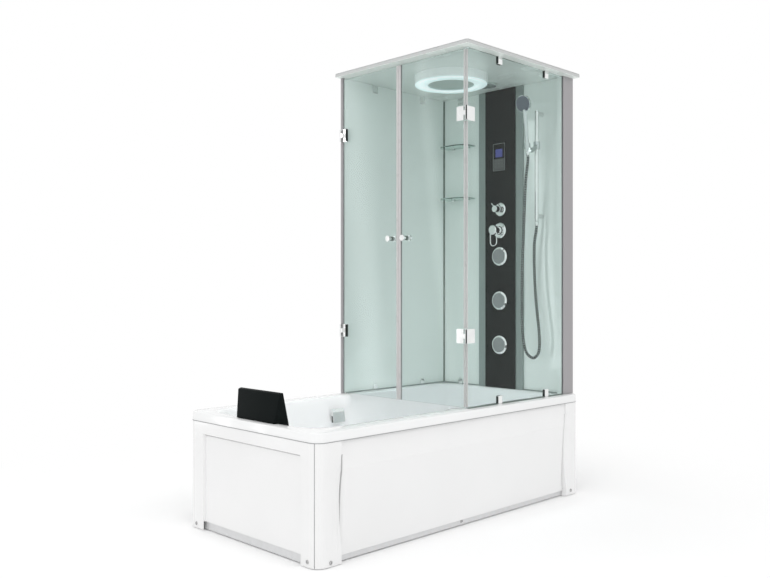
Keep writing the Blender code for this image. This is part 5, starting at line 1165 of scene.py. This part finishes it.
# %% Sheets around the roof and the corner
SIDE_SHEET = 0.0006
SIDE_SHEET_FOOT, SIDE_SHEET_HEAD = 0.001, 0.002
SHEET = 0.0015
low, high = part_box("roof")
edges = (
    (low.x - SIDE_SHEET, low.y, low.x, high.y),
    (low.x, low.y - SIDE_SHEET, high.x, low.y),
    (high.x, low.y, high.x + SIDE_SHEET, high.y),
    (low.x, high.y, high.x, high.y + SIDE_SHEET),
)
side_sheets = [slab((x0, y0, low.z + SIDE_SHEET_FOOT), (x1, y1, high.z - SIDE_SHEET_HEAD)) for x0, y0, x1, y1 in edges]
roof_sheet = slab((low.x, low.y, high.z - SHEET), (high.x, high.y, high.z + SIDE_SHEET / 2))
# Darker sheets on the roof's sides and top: painted shade.
piece("roof_side_shade_sheets", gathered(*side_sheets), "unit", ROOF_SIDE_SHADE)
piece("roof_top_sheet", roof_sheet, "unit", ROOF_CAP_SHADE)

LINING = 0.0012
LINING_INSET = 0.001
BARE_EDGE = 0.012
low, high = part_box("front_corner_profile")
foot, head = low.z + LINING_INSET, high.z - LINING_INSET
lining = gathered(slab((low.x - LINING, low.y + BARE_EDGE, foot), (low.x, high.y, head)),
                  slab((low.x, high.y, foot), (END_FACE_X, high.y + LINING, head)))
piece("corner_lining", lining, "unit", WALL)
print("sheets: 3")

# %% [markdown]
# ## Floor
#
# The object stands on pure white. A floor lit to white would need so much light that the white tub
# lost its shape. So the floor is a plain pale surface that keeps the object's soft shadow close by,
# and further out it goes over into a white that only the camera, mirrors and glass can see.

# %% Masks and mixes for the floor, the world and the streaks
def seen_plainly(tree):
    """A value of 1 for what the camera sees, also in a mirror or through glass."""
    path = add_node(tree, "LightPath")
    value = path.outputs["Is Camera Ray"]
    for ray in ("Is Glossy Ray", "Is Transmission Ray"):
        either = add_node(tree, "Math", operation="MAXIMUM")
        tree.links.new(value, either.inputs[0])
        tree.links.new(path.outputs[ray], either.inputs[1])
        value = either.outputs["Value"]
    return value


def both(tree, first, second):
    """Two masks multiplied."""
    product = add_node(tree, "Math", operation="MULTIPLY")
    tree.links.new(first, product.inputs[0])
    tree.links.new(second, product.inputs[1])
    return product.outputs["Value"]


def mixed(tree, mask, first, second, surface):
    """Passes one shader where a mask is 0 and another where it is 1."""
    blend = add_node(tree, "MixShader")
    tree.links.new(mask, blend.inputs["Fac"])
    tree.links.new(first, blend.inputs[1])
    tree.links.new(second, blend.inputs[2])
    tree.links.new(blend.outputs["Shader"], surface)


print("helpers ready: seen_plainly, both, mixed")

# %% The floor
FLOOR_HALF = 14.0
FLOOR_DROP = 0.0005
SHADOW_NEAR = 1.1
SHADOW_FAR = 2.6
FLOOR_COLOR = (0.96, 0.96, 0.96, 1)


def floor_finish():
    """Pale near the object, and white to the eye further out."""
    material, tree, shader = new_material("pale_floor")
    shader.inputs["Base Color"].default_value = FLOOR_COLOR
    shader.inputs["Roughness"].default_value = 0.9
    shader.inputs["Specular IOR Level"].default_value = 0.1
    white = add_node(tree, "Emission")
    place = add_node(tree, "TexCoord")
    away = add_node(tree, "VectorMath", operation="LENGTH")
    fade = add_node(tree, "MapRange", {"From Min": SHADOW_NEAR, "From Max": SHADOW_FAR})
    fade.interpolation_type = "SMOOTHSTEP"
    tree.links.new(place.outputs["Object"], away.inputs[0])
    tree.links.new(away.outputs["Value"], fade.inputs["Value"])
    mask = both(tree, seen_plainly(tree), fade.outputs["Result"])
    mixed(tree, mask, shader.outputs["BSDF"], white.outputs["Emission"],
          tree.nodes["Material Output"].inputs["Surface"])
    return material


floor_mesh = bpy.data.meshes.new("floor")
corners = [(x * FLOOR_HALF, y * FLOOR_HALF, -FLOOR_DROP) for x, y in ((-1, -1), (1, -1), (1, 1), (-1, 1))]
floor_mesh.from_pydata(corners, [], [(0, 1, 2, 3)])
floor_mesh.materials.append(floor_finish())
floor = bpy.data.objects.new("floor", floor_mesh)
bpy.context.scene.collection.objects.link(floor)
print("floor", 2 * FLOOR_HALF, "m wide")

# %% [markdown]
# ## World
#
# Even light from all sides is what a large white room gives. The world's background does that with
# one node. A second background, pure white, is what the camera and every mirror and pane show.

# %% The world
WORLD_LIGHT = 0.96
WHITE = (1, 1, 1, 1)

world = bpy.data.worlds.new("white_room")
bpy.context.scene.world = world
world.use_nodes = True
tree = world.node_tree
tree.nodes.clear()
lighting = add_node(tree, "Background", {"Color": WHITE, "Strength": WORLD_LIGHT})
backdrop = add_node(tree, "Background", {"Color": WHITE, "Strength": 1.0})
out = add_node(tree, "OutputWorld")
mixed(tree, seen_plainly(tree), lighting.outputs["Background"], backdrop.outputs["Background"],
      out.inputs["Surface"])
print("world light:", WORLD_LIGHT)

# %% [markdown]
# ## Lamps
#
# Large area lamps stand for the softboxes of a studio: the larger the lamp, the softer its shadow.
# One from the left and one from the front are weak, and one high above gives the main light. None
# of them shows in a mirror or through glass.

# %% The lamps
def lamp(name, place, target, size, power, color=(1, 1, 1), spread=180):
    """A soft rectangular lamp that points at a target."""
    light = bpy.data.lights.new(name, "AREA")
    light.shape = "RECTANGLE"
    light.size, light.size_y = size
    light.energy = power
    light.color = color
    light.spread = math.radians(spread)
    thing = bpy.data.objects.new(name, light)
    thing.location = place
    way = Vector(target) - Vector(place)
    thing.rotation_euler = way.to_track_quat("-Z", "Y").to_euler()
    thing.visible_camera = False
    thing.visible_glossy = False
    thing.visible_transmission = False
    bpy.context.scene.collection.objects.link(thing)


lamp("left_softbox", (-4.2, -1.2, 2.6), target=(0.0, 0.0, 0.6), size=(2.6, 2.6), power=13)
lamp("front_softbox", (-2.0, -3.2, 3.4), target=(-0.4, 0.2, 0.3), size=(2.0, 2.0), power=13)
lamp("top_softbox", (-1.5, -0.8, 7.0), target=(-0.3, 0.0, 0.2), size=(3.0, 3.0), power=46)
lamp("basin_fill", (-0.30, -0.50, 1.35), target=(-0.20, 0.28, 0.25), size=(0.50, 0.40), power=0.45, spread=75)
lamp("cabin_fill", (0.39, 0.0, 2.12), target=(0.40, 0.01, 0.0), size=(0.30, 0.30), power=0.60,
     color=(0.86, 0.97, 1.0), spread=50)
print("lamps:", len(bpy.data.lights))

# %% [markdown]
# ## Streaks in the glass
#
# The panes of the doors show tall soft streaks of light, slightly leaning. They are reflections of
# bright panels beside the view. Streaks painted on the glass would stay put when a door swings, so
# here such panels shine for mirror rays alone. They neither light nor hide anything, and fade out
# towards their edges.

# %% A finish that only mirrors see
STREAK_LIGHT = 4.8
HALF = 0.5


def streak_finish():
    """Clear to every ray but a mirror ray, and brightest along the panel's middle."""
    material, tree, shader = new_material("streak_panel")
    tree.nodes.remove(shader)
    place = add_node(tree, "TexCoord")
    split = add_node(tree, "SeparateXYZ")
    fold = add_node(tree, "Math", operation="ABSOLUTE")
    fade = add_node(tree, "MapRange", {"From Min": HALF, "From Max": 0.0})
    fade.interpolation_type = "SMOOTHSTEP"
    path = add_node(tree, "LightPath")
    clear = add_node(tree, "BsdfTransparent")
    shine = add_node(tree, "Emission", {"Strength": STREAK_LIGHT})
    tree.links.new(place.outputs["Object"], split.inputs["Vector"])
    tree.links.new(split.outputs["Y"], fold.inputs[0])
    tree.links.new(fold.outputs["Value"], fade.inputs["Value"])
    mask = both(tree, fade.outputs["Result"], path.outputs["Is Glossy Ray"])
    mixed(tree, mask, clear.outputs["BSDF"], shine.outputs["Emission"],
          tree.nodes["Material Output"].inputs["Surface"])
    return material


STREAK = streak_finish()
print("streak finish:", STREAK.name)

# %% Two reflector panels
STREAK_X = -2.5
STREAK_HEIGHT = 3.6
STREAK_LEAN = math.radians(7)
STREAKS = ((3.02, 0.62), (2.06, 0.26))
for index, (y, width) in enumerate(STREAKS, start=1):
    mesh = bpy.data.meshes.new(f"streak_panel_{index}")
    mesh.from_pydata([(0, -HALF, -HALF), (0, HALF, -HALF), (0, HALF, HALF), (0, -HALF, HALF)], [],
                     [(0, 1, 2, 3)])
    mesh.materials.append(STREAK)
    panel = bpy.data.objects.new(f"streak_panel_{index}", mesh)
    panel.location = (STREAK_X, y, STREAK_HEIGHT / 2)
    panel.scale = (1, width, STREAK_HEIGHT)
    panel.rotation_euler = (-STREAK_LEAN, 0, 0)
    panel.visible_camera = False
    panel.visible_shadow = False
    panel.visible_diffuse = False
    bpy.context.scene.collection.objects.link(panel)
print("reflector panels:", len(STREAKS))

# %% [markdown]
# ## Colours of the picture
#
# Blender can bend colours as film does, which makes whites dull. The Standard view shows each
# colour about as it was written, which suits a catalogue picture on white.

# %% Plain colours
bpy.context.scene.view_settings.view_transform = "Standard"
print("view:", bpy.context.scene.view_settings.view_transform)
